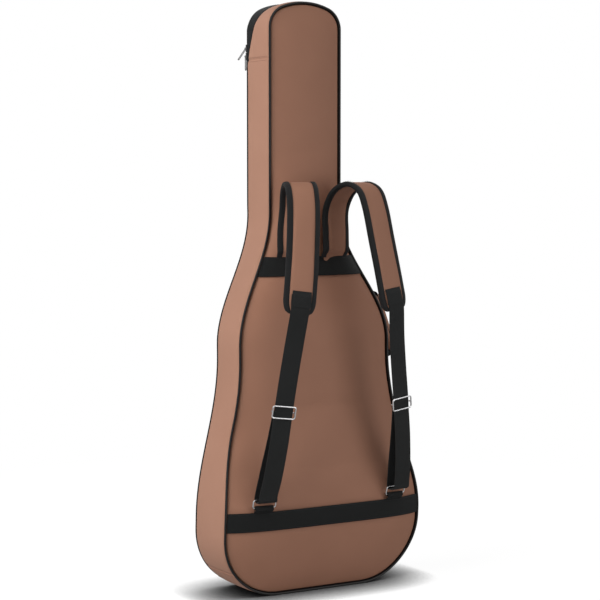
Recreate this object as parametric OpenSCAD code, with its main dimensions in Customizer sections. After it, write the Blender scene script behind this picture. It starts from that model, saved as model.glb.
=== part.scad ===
// Padded gig bag for an acoustic guitar, standing on its base, seen from behind along +Y.
// The back of the bag faces -Y, the zipped front lid faces +Y, and the origin is the middle of the base.

/* [Outline] */
// Height of the bag, standing on its base
bag_h = 1070; // [960:1:1160]
// Width across the lower bout
bout_w = 412; // [366:1:446]
// Width across the waist
waist_w = 316; // [277:1:347]
// Width across the neck and head
neck_w = 152; // [128:1:174]
// Height of the waist
waist_z = 450; // [420:1:480]
// Height at which the shoulders have run into the neck
shoulder_z = 690; // [660:1:720]
// Radius of the two lower corners
corner_r = 118; // [100:1:130]
// Radius of the crown over the head
crown_r = 135; // [120:1:170]
// Radius of the two corners beside the crown
crown_corner_r = 42; // [34:1:46]

/* [Side profile] */
// Depth of the base, from back to front
base_d = 111; // [96:1:125]
// Depth at the lower bout
bout_d = 116; // [100:1:128]
// Depth at the waist
waist_d = 90; // [80:1:104]
// Depth of the neck and head
neck_d = 87; // [78:1:98]
// How far the base stands behind the back of the neck
base_back = 55; // [48:1:62]
// How far the lower bout stands behind the back of the neck
bout_back = 70; // [58:1:78]
// How far the waist stands behind the back of the neck
waist_back = 37; // [30:1:46]
// How far the padded back swells out between its seams
back_crown = 22; // [10:1:28]
// How far the padded front swells out between its seams
front_crown = 10; // [4:1:14]

/* [Padding] */
// Thickness of the padded gusset round the sides
side_t = 8; // [5:0.5:10]
// Thickness of the foam sheet in the back
back_foam_t = 12; // [6:1:16]
// Thickness of the foam sheet in the front lid
front_foam_t = 10; // [6:1:12]
// Thickness of the plush lining
lining_t = 1.5; // [1:0.1:3]
// Diameter of the piping round the back
piping_d = 6; // [4:0.5:8]

/* [Main zip] */
// Width of the zip, both tapes and the teeth
zip_w = 28; // [24:1:32]
// Thickness of the zip's tapes
tape_t = 1.6; // [1:0.1:2]
// Distance of the teeth from the bag's front corner
chain_in = 6; // [5.5:0.5:8]
// Angle at which the zip lies across the front corner
chain_tilt = 40; // [30:1:45]
// Width of one row of teeth
teeth_w = 3; // [2:0.5:4]
// Distance below the top of the bag at which the zip starts to turn up over the head
zip_turn_drop = 120; // [112:1:136]
// Distance below the top of the bag at which the two parked sliders meet
slider_drop = 89; // [86:1:100]

/* [Webbing and straps] */
// Width of the webbing
web_w = 35; // [28:1:40]
// Thickness of the webbing
web_t = 2; // [1.5:0.1:3]
// Height of the middle of the lower band of webbing
lower_band_z = 143; // [128:1:160]
// Height of the middle of the upper band of webbing
upper_band_z = 591; // [570:1:610]
// Width of a shoulder pad
pad_w = 61; // [50:1:70]
// Thickness of a shoulder pad
pad_t = 10; // [7:0.5:14]
// Width of the binding along each edge of a shoulder pad
binding_w = 10; // [7:1:12]
// Distance of a shoulder pad's sewn end from the middle of the back
strap_x = 45; // [40:1:50]
// Distance of a strap's ring from the middle of the back
ring_x = 138; // [128:1:146]

/* [Strap hardware] */
// Diameter of the wire of the rings and tri-glides
wire_d = 2.8; // [2.4:0.1:3.4]
// Clear width inside a ring or tri-glide, beyond the webbing
wire_play = 5; // [4:0.5:7]
// Length of a tri-glide along its webbing
glide_l = 21; // [18:1:26]
// Distance between the two long bars of a ring
ring_l = 15; // [13:1:18]
// Height of the tri-glides above the base
glide_z = 343; // [320:1:356]

/* [Side handle] */
// Height of the handle's lower end
handle_z = 402; // [390:1:414]
// Length of the handle between its two ends
handle_l = 138; // [126:1:150]
// How far the grip stands off the gusset
handle_rise = 28; // [24:1:34]
// How much further the grip's lower end stands off than its upper end
handle_kick = 24; // [10:1:28]
// Width of the handle's webbing
handle_web_w = 25; // [20:1:30]
// Thickness of the padded grip
grip_d = 18; // [14:1:22]

/* [Front pocket] */
// Width of the flat pocket on the lid
pocket_w = 236; // [200:2:250]
// Height of the pocket
pocket_h = 260; // [220:1:280]
// Height of the pocket's lower edge above the base
pocket_z = 96; // [84:1:110]
// Thickness of the pocket
pocket_t = 8; // [6:1:12]

/* [Inside] */
// Height of the middle of the neck rest above the shoulders
rest_up = 115; // [95:1:135]
// Width of the guitar's neck where it lies in the rest
neck_gap = 62; // [56:1:70]

/* [Hidden] */

cover_brown = [0.51, 0.36, 0.29];
gusset_brown = [0.62, 0.45, 0.37];
webbing_black = [0.12, 0.12, 0.12];
lining_grey = [0.25, 0.25, 0.27];
foam_grey = [0.45, 0.45, 0.47];
wire_silver = [0.78, 0.78, 0.80];

gap = 0.3;              // clearance between pieces that only rest against each other
pin_play = 0.08;        // radial clearance of a pull's bar in its slider
swell_power = 5;        // the padded panels rise fast from their seams and are nearly flat in the middle
flank_steps = 10;       // straight facets on each curved flank
arc_steps = 8;          // straight facets on a lower corner
crown_steps = 5;        // straight facets on each arc of the head
far = 400;              // half the reach of the blocks that cut the outline and the side profile
hip_z = 310;            // height at which the back has run in from the lower bout
bout_z = 148;           // height at which the bag is deepest
seam_drop = 104;        // from the top down to the seam between the side gussets and the head gusset
seam_z = bag_h - seam_drop;
zip_turn_z = bag_h - zip_turn_drop;
slider_z = bag_h - slider_drop;
rest_z = shoulder_z + rest_up;
base_seam_z = 46;       // height of the seam between the side gussets and the base gusset
lane_up = 24;           // from the shoulders up to the lowest point that the lower zip slider reaches
lane_lo = shoulder_z + lane_up;

// ---- Outline: the right-hand half as [x, z], from the base round to the crown, then mirrored ----

function ease(t) = (1 - cos(180 * t)) / 2;
function ramp(z, lo, hi) = max(0, min(1, (z - lo) / (hi - lo)));
function unit(v) = v / norm(v);

bout_top_z = corner_r + 14;
waist_top_z = waist_z - 22;
head_arc = crown_r - crown_corner_r;
head_side = neck_w / 2 - crown_corner_r;
crown_z = bag_h - crown_r + sqrt(head_arc * head_arc - head_side * head_side);
crown_split = acos(head_side / head_arc);

function half_w(z) = z < waist_z
    ? bout_w / 2 - (bout_w - waist_w) / 2 * ease(ramp(z, bout_top_z, waist_top_z))
    : waist_w / 2 - (waist_w - neck_w) / 2 * ease(ramp(z, waist_z, shoulder_z));

right_half = concat(
    [[0, 0]],
    [for (i = [0 : arc_steps]) let (a = -90 + 90 * i / arc_steps)
        [bout_w / 2 - corner_r + corner_r * cos(a), corner_r + corner_r * sin(a)]],
    [for (i = [0 : flank_steps]) let (z = bout_top_z + (waist_top_z - bout_top_z) * i / flank_steps)
        [half_w(z), z]],
    [for (i = [0 : flank_steps]) let (z = waist_z + (shoulder_z - waist_z) * i / flank_steps)
        [half_w(z), z]],
    [for (z = [lane_lo, zip_turn_z, seam_z]) [neck_w / 2, z]],
    [for (i = [0 : crown_steps]) let (a = crown_split * i / crown_steps)
        [head_side + crown_corner_r * cos(a), crown_z + crown_corner_r * sin(a)]],
    [for (i = [1 : crown_steps]) let (a = crown_split + (90 - crown_split) * i / crown_steps)
        [crown_r * cos(a), bag_h - crown_r + crown_r * sin(a)]]
);
half_n = len(right_half);
loop = concat(right_half, [for (i = [half_n - 2 : -1 : 1]) [-right_half[i][0], right_half[i][1]]]);
loop_n = len(loop);

function edge(i) = unit(loop[(i + 1) % loop_n] - loop[i % loop_n]);
function outward(i) = let (t = unit(edge(i) + edge(i + loop_n - 1))) [t[1], -t[0]];
normals = [for (i = [0 : loop_n - 1]) outward(i)];
function inset(d) = [for (i = [0 : loop_n - 1]) loop[i] - normals[i] * d];

// ---- Side profile: y of the back and front seams at height z ----

back_stations = [[0, -base_back], [bout_z, -bout_back], [hip_z, -waist_back - 4],
    [waist_z, -waist_back], [shoulder_z, 0]];
front_stations = [[0, base_d - base_back], [bout_z, bout_d - bout_back],
    [waist_z + 20, waist_d - waist_back],
    [shoulder_z + 20, neck_d]];
function along(table, z, i = 0) =
    i == len(table) - 1 ? table[i][1]
    : z < table[i + 1][0] ? table[i][1] + (table[i + 1][1] - table[i][1]) * ease(ramp(z, table[i][0],
        table[i + 1][0]))
    : along(table, z, i + 1);
function back_y(z) = along(back_stations, z);
function front_y(z) = along(front_stations, z);

levels = concat([-20], [for (i = [2 : half_n - 1]) right_half[i][1]], [bag_h + 20]);
function profile(lo, hi) = concat([for (z = levels) [lo(z), z]],
    [for (i = [len(levels) - 1 : -1 : 0]) [hi(levels[i]), levels[i]]]);

module outline_block(points) translate([0, far, 0])
    rotate([90, 0, 0]) linear_extrude(2 * far) polygon(points);
module profile_block(points) rotate([90, 0, 90]) linear_extrude(2 * far, center = true) polygon(points);

// A sheet that fills the outline, inset by d, between two side profiles
module sheet(points, lo, hi) intersection() {
    outline_block(points);
    profile_block(profile(lo, hi));
}

// A wall that follows the outline, between two side profiles
module wall(t, lo, hi) intersection() {
    difference() {
        outline_block(inset(0));
        outline_block(inset(t));
    }
    profile_block(profile(lo, hi));
}

module between(z_lo, z_hi) translate([-far, -far, z_lo]) cube([2 * far, 2 * far, z_hi - z_lo]);

// ---- Skins: a solid through a list of rings that have the same number of points ----

function ring_faces(m, n, closed) = [for (i = [0 : m - (closed ? 1 : 2)], j = [0 : n - 1])
    let (a = i * n + j, b = i * n + (j + 1) % n, c = ((i + 1) % m) * n + (j + 1) % n,
        d = ((i + 1) % m) * n + j)
    each [[a, c, b], [a, d, c]]];
module skin(rings, closed = false) {
    m = len(rings);
    n = len(rings[0]);
    ends = closed ? [] : [[for (j = [0 : n - 1]) j], [for (j = [n - 1 : -1 : 0]) (m - 1) * n + j]];
    polyhedron([for (r = rings) each r], concat(ring_faces(m, n, closed), ends));
}

// ---- Padded panels ----

spine_lo = 150;
spine_hi = bag_h - 90;
swell_steps = [1, 0.9, 0.68, 0.32];
function swell(s) = 1 - pow(s, swell_power);

// Rungs from the right-hand half of the loop to the left, which fill it with triangles
ladder = concat(
    [[0, 1, 2], [0, 2, loop_n - 2], [0, loop_n - 2, loop_n - 1]],
    [for (i = [2 : half_n - 3]) each [[i, i + 1, loop_n - i - 1], [i, loop_n - i - 1, loop_n - i]]],
    [[half_n - 2, half_n - 1, half_n]]
);

// A padded cover over the outline inset by each point's own amount: flat on its seam side, swollen
// outwards
function cover_ring(edge_in, seam, side, rise, s) = [for (i = [0 : loop_n - 1])
    let (c = [0, max(spine_lo, min(spine_hi, loop[i][1]))],
        e = loop[i] - normals[i] * edge_in(loop[i][1]),
        p = c + (e - c) * s)
    [p[0], seam(p[1]) + side * rise * swell(s), p[1]]];
module cover(edge_in, seam, side, rise, t) {
    base = [for (i = [0 : loop_n - 1]) let (e = loop[i] - normals[i] * edge_in(loop[i][1]))
        [e[0], seam(e[1]), e[1]]];
    lip = [for (p = base) p + [0, side * t, 0]];
    rings = concat([base, lip], [for (k = [1 : len(swell_steps) - 1])
        [for (p = cover_ring(edge_in, seam, side, rise, swell_steps[k])) p + [0, side * t, 0]]]);
    m = len(rings);
    last = (m - 1) * loop_n;
    far_side = [for (f = ladder) [last + f[2], last + f[1], last + f[0]]];
    faces = concat(ring_faces(m, loop_n, false), far_side, ladder);
    polyhedron([for (r = rings) each r], side < 0 ? faces : [for (f = faces) [f[2], f[1], f[0]]]);
}
cover_t = 2;

panel_in = piping_d + gap;   // the back cover stops short of the outline by the width of its piping
module back_panel() color(cover_brown)
    cover(function (z) panel_in, function (z) back_y(z), -1, back_crown - cover_t, cover_t);
module back_foam() color(foam_grey)
    sheet(inset(side_t), function (z) back_y(z) + gap, function (z) back_y(z) + back_foam_t);
module back_lining() color(lining_grey)
    sheet(inset(side_t), function (z) back_y(z) + back_foam_t, function (z) floor_y(z));
function floor_y(z) = back_y(z) + back_foam_t + lining_t;

// Outer face of the padded back at x, z
function panel_y(x, z) = back_y(z) - cover_t
    - (back_crown - cover_t) * swell(min(1, abs(x) / (half_w(z) - panel_in)));

// ---- Gusset: three sewn lengths and the base ----

tape_fold = 4;          // how far the zip's tape folds round onto the gusset
corner_cut = 6.3;       // how far the zip cuts off the front corner
head_recess = 38;       // depth of the zip's tape over the middle of the head
turn_slack = 0.9;       // more room under the tape where it turns, for the slant of its edge
function recess(z) = corner_cut + (head_recess - corner_cut) * ramp(z, zip_turn_z, bag_h);
function gusset_front(z) = front_y(z) - recess(z) - tape_fold;

module gusset() color(gusset_brown)
    wall(side_t, function (z) back_y(z) + gap,
        function (z) gusset_front(z) - gap - turn_slack * ramp(z, zip_turn_z, bag_h));
module half(side) translate([side < 0 ? -far : 0, -far, -far]) cube([far, 2 * far, 4 * far]);

module left_gusset() color(gusset_brown) intersection() {
    gusset();
    between(base_seam_z, seam_z);
    half(-1);
}
module right_gusset() color(gusset_brown) intersection() {
    gusset();
    between(base_seam_z, seam_z);
    half(1);
}
module head_gusset() color(gusset_brown) intersection() {
    gusset();
    between(seam_z, bag_h + 1);
}
module base_gusset() color(gusset_brown) intersection() {
    gusset();
    between(-1, base_seam_z);
}

// ---- Main zip: it lies across the front corner and turns onto the top of the head ----

lid_in = 22;            // distance of the lid's edge from the front corner
chain_drop = 1;         // how far the teeth lie behind the front seam
teeth_rise = 1;         // how far the teeth stand proud of the tape
split = 0.5;            // half the space between the two rows of teeth
slider_w = 12;
lane_clear = 8.5;       // space that the sliders need on the lid's side of the teeth

function place(i, d, y) = let (p = loop[i] - normals[i] * d) [p[0], front_y(p[1]) + y, p[1]];
function head_turn(i) = ramp(loop[i][1], crown_z, bag_h);
function chain_angle(i) = chain_tilt + (90 - chain_tilt) * head_turn(i);
function chain_dir(i) = [cos(chain_angle(i)), sin(chain_angle(i))];
function chain_mid(i) = let (k = head_turn(i))
    [chain_in * (1 - k), -chain_drop - (zip_w / 2 - chain_drop) * k];
function tape_edge(i) = [0, -recess(loop[i][1])];
function lid_edge(i) = [lid_in * cos(90 * head_turn(i)), 0];
function lid_inset(z) = max(lid_in * cos(90 * ramp(z, crown_z, bag_h)), tape_t + gap);
function inner(v) = [v[1], -v[0]];

zip_end_step = 3;       // arc steps from the flat base up to the zip's ends
first_stop = 1 + zip_end_step;
last_stop = loop_n - first_stop;
function stop_of(z) = [for (i = [0 : half_n - 1]) if (abs(right_half[i][1] - z) < 0.01) i][0];
lane_from = loop_n - stop_of(crown_z);
lane_to = loop_n - stop_of(lane_lo);
function in_lane(i) = i >= lane_from && i <= lane_to;

// A strip of thickness t under the line through the points p, with mitred corners
function under(p, t) = [for (k = [len(p) - 1 : -1 : 0])
    let (a = inner(unit(p[max(k, 1)] - p[max(k, 1) - 1])),
        b = inner(unit(p[min(k, len(p) - 2) + 1] - p[min(k, len(p) - 2)]))) p[k]
            + (a + b) * t / (1 + a * b)];
function strip(i, p, t) = [for (q = concat(p, under(p, t))) place(i, q[0], q[1])];
function on_chain_line(i, d) = chain_mid(i) + chain_dir(i) * d;
tape_from = split + teeth_w + gap;
plate_reach = slider_w / 2 + gap;      // the tape turns beyond the slider's plates
function body_tape(i) = strip(i, [tape_edge(i) - [0, tape_fold], tape_edge(i),
    on_chain_line(i, -plate_reach),
    on_chain_line(i, -tape_from)], tape_t);
function lid_tape(i) = let (d = in_lane(i) ? lane_clear : tape_from)
    strip(i, [on_chain_line(i, d), on_chain_line(i, d + gap), lid_edge(i)], tape_t);
function teeth(i, side) = let (up = -inner(chain_dir(i)) * teeth_rise,
    lo = side < 0 ? -split - teeth_w : split)
    strip(i, [on_chain_line(i, lo) + up, on_chain_line(i, lo + teeth_w) + up], teeth_rise + tape_t);

module zip_tape_body() color(webbing_black) skin([for (i = [first_stop : last_stop]) body_tape(i)]);
module zip_teeth_body() color(webbing_black) {
    skin([for (i = [first_stop : last_stop]) teeth(i, -1)]);
    skin([for (i = [lane_from : lane_to]) teeth(i, 1)]);
}
module zip_tape_lid() color(webbing_black) skin([for (i = [first_stop : last_stop]) lid_tape(i)]);
module zip_teeth_lid() color(webbing_black) {
    skin([for (i = [first_stop : lane_from - 1]) teeth(i, 1)]);
    skin([for (i = [lane_to + 1 : last_stop]) teeth(i, 1)]);
}

// The lid's lower edge is sewn to this strip, which fills the space between the zip's ends, and the
// lid folds down about it
zip_end_a = 90 * zip_end_step / arc_steps;
module below_zip_ends() translate([0, far, 0]) rotate([90, 0, 0]) linear_extrude(2 * far) polygon([
    for (side = [1, -1], l = side > 0 ? [0, far] : [far, 0])
        [side * (bout_w / 2 - corner_r - gap + l * sin(zip_end_a)), corner_r - l * cos(zip_end_a)]]);
module hinge_strip() color(webbing_black) intersection() {
    wall(lid_in - gap, function (z) gusset_front(z), function (z) front_y(z));
    below_zip_ends();
}

// ---- Piping round the back ----

piping_sides = 6;
module back_piping() color(webbing_black) skin([for (i = [0 : loop_n - 1])
    [for (k = [0 : piping_sides - 1]) let (a = -360 * k / piping_sides,
            p = loop[i] - normals[i] * piping_d / 2 * (1 - cos(a)))
        [p[0], back_y(p[1]) - gap - piping_d / 2 * (1 + sin(a)), p[1]]]], true);

// ---- Front lid ----

module front_panel() color(cover_brown)
    cover(function (z) lid_inset(z), function (z) front_y(z), 1, front_crown - cover_t, cover_t);
lid_outline = [for (i = [0 : loop_n - 1]) loop[i] - normals[i] * (lid_inset(loop[i][1]) + tape_t)];
module front_foam() color(foam_grey)
    sheet(lid_outline, function (z) front_y(z) - front_foam_t, function (z) front_y(z) - gap);
module front_lining() color(lining_grey)
    sheet(lid_outline, function (z) front_y(z) - front_foam_t - lining_t,
        function (z) front_y(z) - front_foam_t);

// ---- Zip sliders and their pulls: z along the zip, y out of it, x across it ----

slider_l = 14;
slider_end_r = 8.5;     // the plates' ends are rounded to this radius
plate_t = 1.2;
blade_t = 0.5;          // the blade that parts the rows of teeth
blade_l = 4;
pull_wire_d = 1.6;
pull_w = 7;
pull_l = 26;
bridge_t = 2.4;
bridge_r = 2.3;
plate_in = -tape_t - gap - plate_t;
plate_out = teeth_rise + gap;
pivot_h = plate_out + plate_t + bridge_r - 0.2;

module plate(y) translate([0, y + plate_t, 0]) rotate([90, 0, 0]) linear_extrude(plate_t) intersection() {
    square([slider_w, slider_l], center = true);
    circle(r = slider_end_r, $fn = 48);
}
module slider_body() color(wire_silver) difference() {
    union() {
        plate(plate_in);
        plate(plate_out);
        translate([-blade_t / 2, plate_in, -blade_l / 2])
            cube([blade_t, plate_out - plate_in + plate_t / 2, blade_l]);
        translate([-bridge_t / 2, pivot_h, 0]) rotate([0, 90, 0])
            cylinder(r = bridge_r, h = bridge_t, $fn = 32);
    }
    translate([-bridge_t, pivot_h, 0]) rotate([0, 90, 0])
        cylinder(d = pull_wire_d + 2 * pin_play, h = 2 * bridge_t, $fn = 32);
}
module pull() color(wire_silver) {
    leg_x = (pull_w - pull_wire_d) / 2;
    leg_l = pull_l - pull_w / 2;
    translate([-leg_x, 0, 0]) rotate([0, 90, 0]) cylinder(d = pull_wire_d, h = 2 * leg_x, $fn = 24);
    for (x = [-leg_x, leg_x]) translate([x, 0, 0]) {
        sphere(d = pull_wire_d, $fn = 24);
        translate([0, 0, -leg_l]) cylinder(d = pull_wire_d, h = leg_l, $fn = 24);
    }
    translate([0, 0, -leg_l]) rotate([-90, 0, 0]) rotate_extrude(angle = 180, $fn = 48)
        translate([leg_x, 0]) circle(d = pull_wire_d, $fn = 24);
}

pull_tilt = 36;         // the upper pull leans out over the lower slider
module on_chain(z) translate([chain_in - neck_w / 2, front_y(z) - chain_drop, z])
    rotate([0, 0, chain_tilt]) children();
upper_z = slider_z + slider_l / 2 + gap;
lower_z = slider_z - slider_l / 2 - gap;
module upper_slider() on_chain(upper_z) slider_body();
module lower_slider() on_chain(lower_z) slider_body();
module upper_pull() on_chain(upper_z) translate([0, pivot_h, 0]) rotate([pull_tilt, 0, 0]) pull();
module lower_pull() on_chain(lower_z) translate([0, pivot_h, 0]) pull();

// ---- Flat pocket on the lid ----

pocket_r = 24;
pocket_margin = 18;     // from the pocket's sides to the ends of its zip
pocket_zip_drop = 34;   // from the pocket's upper edge to its zip
groove_w = 16;
groove_t = 4;
zip_mid_z = pocket_z + pocket_h - pocket_zip_drop;
function pocket_back(z) = front_y(z) + front_crown + gap;
zip_face = max(pocket_back(zip_mid_z - zip_w / 2), pocket_back(zip_mid_z + zip_w / 2)) + pocket_t;
pocket_zip_l = pocket_w - 2 * pocket_margin;

module pocket_panel() color(cover_brown) difference() {
    intersection() {
        translate([0, far, pocket_z + pocket_h / 2]) rotate([90, 0, 0]) linear_extrude(2 * far) union() {
            square([pocket_w - 2 * pocket_r, pocket_h], center = true);
            square([pocket_w, pocket_h - 2 * pocket_r], center = true);
            for (x = [-1, 1], z = [-1, 1]) translate([x * (pocket_w / 2 - pocket_r), z
                * (pocket_h / 2 - pocket_r)])
                circle(r = pocket_r, $fn = 64);
        }
        profile_block(profile(function (z) pocket_back(z), function (z) pocket_back(z) + pocket_t));
    }
    translate([-pocket_zip_l / 2, zip_face - groove_t, zip_mid_z - groove_w / 2])
        cube([pocket_zip_l, far, groove_w]);
}
module zip_row(lo, hi, y_lo, y_hi) translate([-pocket_zip_l / 2, zip_face + y_lo, zip_mid_z + lo])
    cube([pocket_zip_l, y_hi - y_lo, hi - lo]);
module pocket_zip_tape() color(webbing_black) {
    zip_row(split + teeth_w, zip_w / 2, 0, tape_t);
    zip_row(-zip_w / 2, -split - teeth_w, 0, tape_t);
}
module pocket_teeth() color(webbing_black) {
    zip_row(split, split + teeth_w, 0, tape_t + teeth_rise);
    zip_row(-split - teeth_w, -split, 0, tape_t + teeth_rise);
}
module on_pocket() translate([(slider_l - pocket_zip_l) / 2 + 3, zip_face + tape_t, zip_mid_z])
    rotate([0, 90, 0]) children();
module pocket_slider() on_pocket() slider_body();
module pocket_pull() on_pocket() translate([0, pivot_h, 0]) rotate([180, 0, 0]) pull();

// ---- Inside: neck rest, neck strap and end pad ----

rest_h = 50;
rest_d = 32;
notch_d = 18;
neck_strap_w = 38;
neck_strap_up = 17;     // from the top of the neck rest to the strap
end_pad_w = 140;
end_pad_h = 28;
notch_r = (neck_gap * neck_gap / 4 + notch_d * notch_d) / (2 * notch_d);

module neck_rest() color(foam_grey) difference() {
    intersection() {
        sheet(inset(side_t), function (z) floor_y(z), function (z) floor_y(z) + rest_d);
        between(rest_z - rest_h / 2, rest_z + rest_h / 2);
    }
    translate([0, floor_y(rest_z) + rest_d - notch_d + notch_r, rest_z - rest_h])
        cylinder(r = notch_r, h = 2 * rest_h, $fn = 96);
}
module neck_strap() color(webbing_black) intersection() {
    sheet(inset(side_t), function (z) floor_y(z) + rest_d + neck_strap_up,
        function (z) floor_y(z) + rest_d + neck_strap_up + web_t);
    between(rest_z - neck_strap_w / 2, rest_z + neck_strap_w / 2);
}
module end_pad() color(foam_grey) intersection() {
    sheet(inset(side_t), function (z) floor_y(z), function (z) gusset_front(z) - front_foam_t);
    translate([-end_pad_w / 2, -far, 0]) cube([end_pad_w, 2 * far, side_t + end_pad_h]);
}

// ---- Bands of webbing across the back ----

band_stops = [-0.99, -0.9, -0.79, -0.68, -0.5, -0.32, 0, 0.32, 0.5, 0.68, 0.79, 0.9, 0.99];
function band_point(s, z, out) = let (x = s * (half_w(z) - panel_in)) [x, panel_y(x, z) - out, z];
module band(z) color(webbing_black) skin([for (s = band_stops) [
    for (k = [-1, 0, 1]) band_point(s, z + k * web_w / 2, gap),
    for (k = [1, 0, -1]) band_point(s, z + k * web_w / 2, gap + web_t)]]);
module lower_band() band(lower_band_z);
module upper_band() band(upper_band_z);

// ---- Shoulder straps: the right-hand one, mirrored for the left ----

function spline(p, steps) = concat([for (i = [0 : len(p) - 2], k = [0 : steps - 1])
    let (a = p[max(0, i - 1)], b = p[i], c = p[i + 1], d = p[min(len(p) - 1, i + 2)], t = k / steps)
    (2 * b + (c - a) * t + (2 * a - 5 * b + 4 * c - d) * t * t
        + (3 * b - a - 3 * c + d) * t * t * t) / 2], [p[len(p) - 1]]);
function tangent(p, i) = unit(p[min(len(p) - 1, i + 1)] - p[max(0, i - 1)]);
strap_turn = 10;        // the pads face slightly outwards
ring_turn = 7;          // the rings follow the slope of the back
function turned(v, a) = [v[0] * cos(a) - v[1] * sin(a), v[0] * sin(a) + v[1] * cos(a), v[2]];
function strap_angle(z) = ring_turn + (strap_turn - ring_turn) * ramp(z, ring_bar_z, pad_foot_z);
function strap_across(p, i) = let (t = tangent(p, i), w = turned([1, 0, 0], strap_angle(p[i][2])))
    unit(w - t * (w * t));
function strap_out(p, i) = cross(tangent(p, i), strap_across(p, i));
function section(p, i, shape) = let (w = strap_across(p, i), n = strap_out(p, i))
    [for (q = shape) p[i] + w * q[0] + n * q[1]];
function flat(w, t) = [[-w / 2, -t / 2], [w / 2, -t / 2], [w / 2, t / 2], [-w / 2, t / 2]];

ring_up = 9;            // from the lower band's edge up to the ring's lower bar
ring_bar_z = lower_band_z + web_w / 2 + ring_up;
pad_foot_z = upper_band_z + web_w / 2 + gap;
pad_tuck = 10;          // the pad's sewn end reaches this far under the line of the band's edge
pad_rest = 40;          // length over which the pad runs up close to the back
pad_run = 55;           // how far the pad runs sideways from its sewn end to its free end
pad_reach = 113;        // how far the free end stands out behind the sewn end
pad_rise = 139;         // how high the pad's arch stands above its sewn end
// The arch and the outer run, as shares of the pad's run, reach and rise
pad_shape = [[-0.04, 0.03, 0.60], [0.08, 0.17, 0.84], [0.28, 0.42, 0.94], [0.45, 0.65, 0.86],
    [0.54, 0.77, 0.64],
    [0.66, 0.86, 0.24], [0.82, 0.94, -0.21], [1, 1, -0.68]];
function on_back(x, z, off) = [x, panel_y(x, z) - gap - off, z];
pad_low = on_back(strap_x, pad_foot_z - pad_tuck, pad_t / 2 + gap);
pad_lift = 8;           // how far the pad has lifted off the back at the end of that length
pad_high = on_back(strap_x, pad_foot_z + pad_rest, pad_t / 2 + pad_lift);
pad_route = concat([pad_low, pad_high],
    [for (q = pad_shape) [strap_x + pad_run * q[0], pad_high[1] - pad_reach * q[1],
        pad_foot_z + pad_rise * q[2]]]);
pad_line = spline(pad_route, 2);
pad_n = len(pad_line);
pad_core_w = pad_w - 2 * binding_w;
foot_taper = [0.74, 0.9, 1];
function taper(i) = pad_n - 1 - i < len(foot_taper) ? foot_taper[pad_n - 1 - i] : 1;
function rim(k, side) = let (x = pad_core_w / 2, b = binding_w, t = pad_t / 2) side > 0
    ? [for (q = [[x, -t], [x + 0.7 * b, -0.8 * t], [x + b, -0.3 * t], [x + b, 0.3 * t],
        [x + 0.7 * b, 0.8 * t], [x, t]]) [q[0] * k, q[1]]]
    : [for (q = [[-x, t], [-x - 0.7 * b, 0.8 * t], [-x - b, 0.3 * t], [-x - b, -0.3 * t],
        [-x - 0.7 * b, -0.8 * t], [-x, -t]]) [q[0] * k, q[1]]];

function mix(a, b, t) = a + (b - a) * t;
pad_end = pad_line[pad_n - 1] + 3 * gap * tangent(pad_line, pad_n - 1);
ring_bar = on_back(ring_x, ring_bar_z, wire_d / 2 + 2 * web_t + 2 * gap);
ring_lean = 15;         // the ring leans back, in line with the pull of its strap
ring_head = ring_bar + ring_l * turned([0, -sin(ring_lean), cos(ring_lean)], ring_turn);
strap_bulge = 14;       // how far the strap stands out at the tri-glide from a straight line to the ring
glide_share = mix(pad_end, ring_head, (pad_end[2] - glide_z) / (pad_end[2] - ring_head[2]));
strap_bow = 3;          // how far it stands out sideways there
glide_mid = glide_share + [strap_bow, -strap_bulge, 0];
glide_run = unit([-8, -6, 72]);         // direction of the webbing where the tri-glide slides
glide_straight = 43;    // half the straight length that the tri-glide slides along
glide_top = glide_mid + glide_straight * glide_run;
glide_foot = glide_mid - glide_straight * glide_run;
loop_slack = 1.4;
loop_r = wire_d / 2 + loop_slack + web_t / 2;
pull_dir = turned([0, 0.37, -0.93], ring_turn);
pull_side = turned([0, -0.93, -0.37], ring_turn);
strap_dip = 3;          // how far the strap dips towards the back between the tri-glide and the ring
run_gap = 2.8;          // space between the two runs of webbing where they meet below the tri-glide
function dipped(a, b, t) = mix(a, b, t) + [0, strap_dip, 0];
outer_ring_end = ring_head + pull_side * loop_r;
inner_ring_end = ring_head - pull_side * loop_r;
inner_foot = glide_foot + [0, run_gap, run_gap];
strap_line = concat(
    spline([pad_end, mix(pad_end, glide_top, 0.6), glide_top], 3),
    spline([glide_foot, dipped(glide_foot, outer_ring_end, 0.4),
        dipped(glide_foot, outer_ring_end, 0.75), outer_ring_end], 3),
    [for (a = [30 : 30 : 150]) ring_head + loop_r * (pull_side * cos(a) + pull_dir * sin(a))],
    spline([inner_ring_end, dipped(inner_foot, inner_ring_end, 0.75),
        dipped(inner_foot, inner_ring_end, 0.4), inner_foot], 3)
);

module mirrored(side) mirror([side < 0 ? 1 : 0, 0, 0]) children();
// The pads' upper ends stop along the band's upper edge
module band_space() translate([-far, panel_y(0, upper_band_z) - 3 * pad_t, pad_foot_z - far])
    cube([2 * far, far, far]);
module strap_pad(side) mirrored(side) color(cover_brown) difference() {
    skin([for (i = [0 : pad_n - 1]) section(pad_line, i, flat(pad_core_w * taper(i), pad_t))]);
    band_space();
}
module strap_binding(side) mirrored(side) color(webbing_black) for (edge_side = [-1, 1]) difference() {
    skin([for (i = [0 : pad_n - 1]) section(pad_line, i, rim(taper(i), edge_side))]);
    band_space();
}
module strap_webbing(side) mirrored(side) color(webbing_black)
    skin([for (i = [0 : len(strap_line) - 1]) section(strap_line, i, flat(web_w, web_t))]);
module strap_patch(side) mirrored(side) color(webbing_black) {
    lift = pad_t / 2 + gap + web_t / 2;
    skin([for (i = [pad_n - 3 : pad_n - 1]) [for (q = flat(pad_core_w * taper(i), web_t))
        pad_line[i] + strap_across(pad_line, i) * q[0] + strap_out(pad_line, i) * (q[1] + lift)]]);
}
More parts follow.
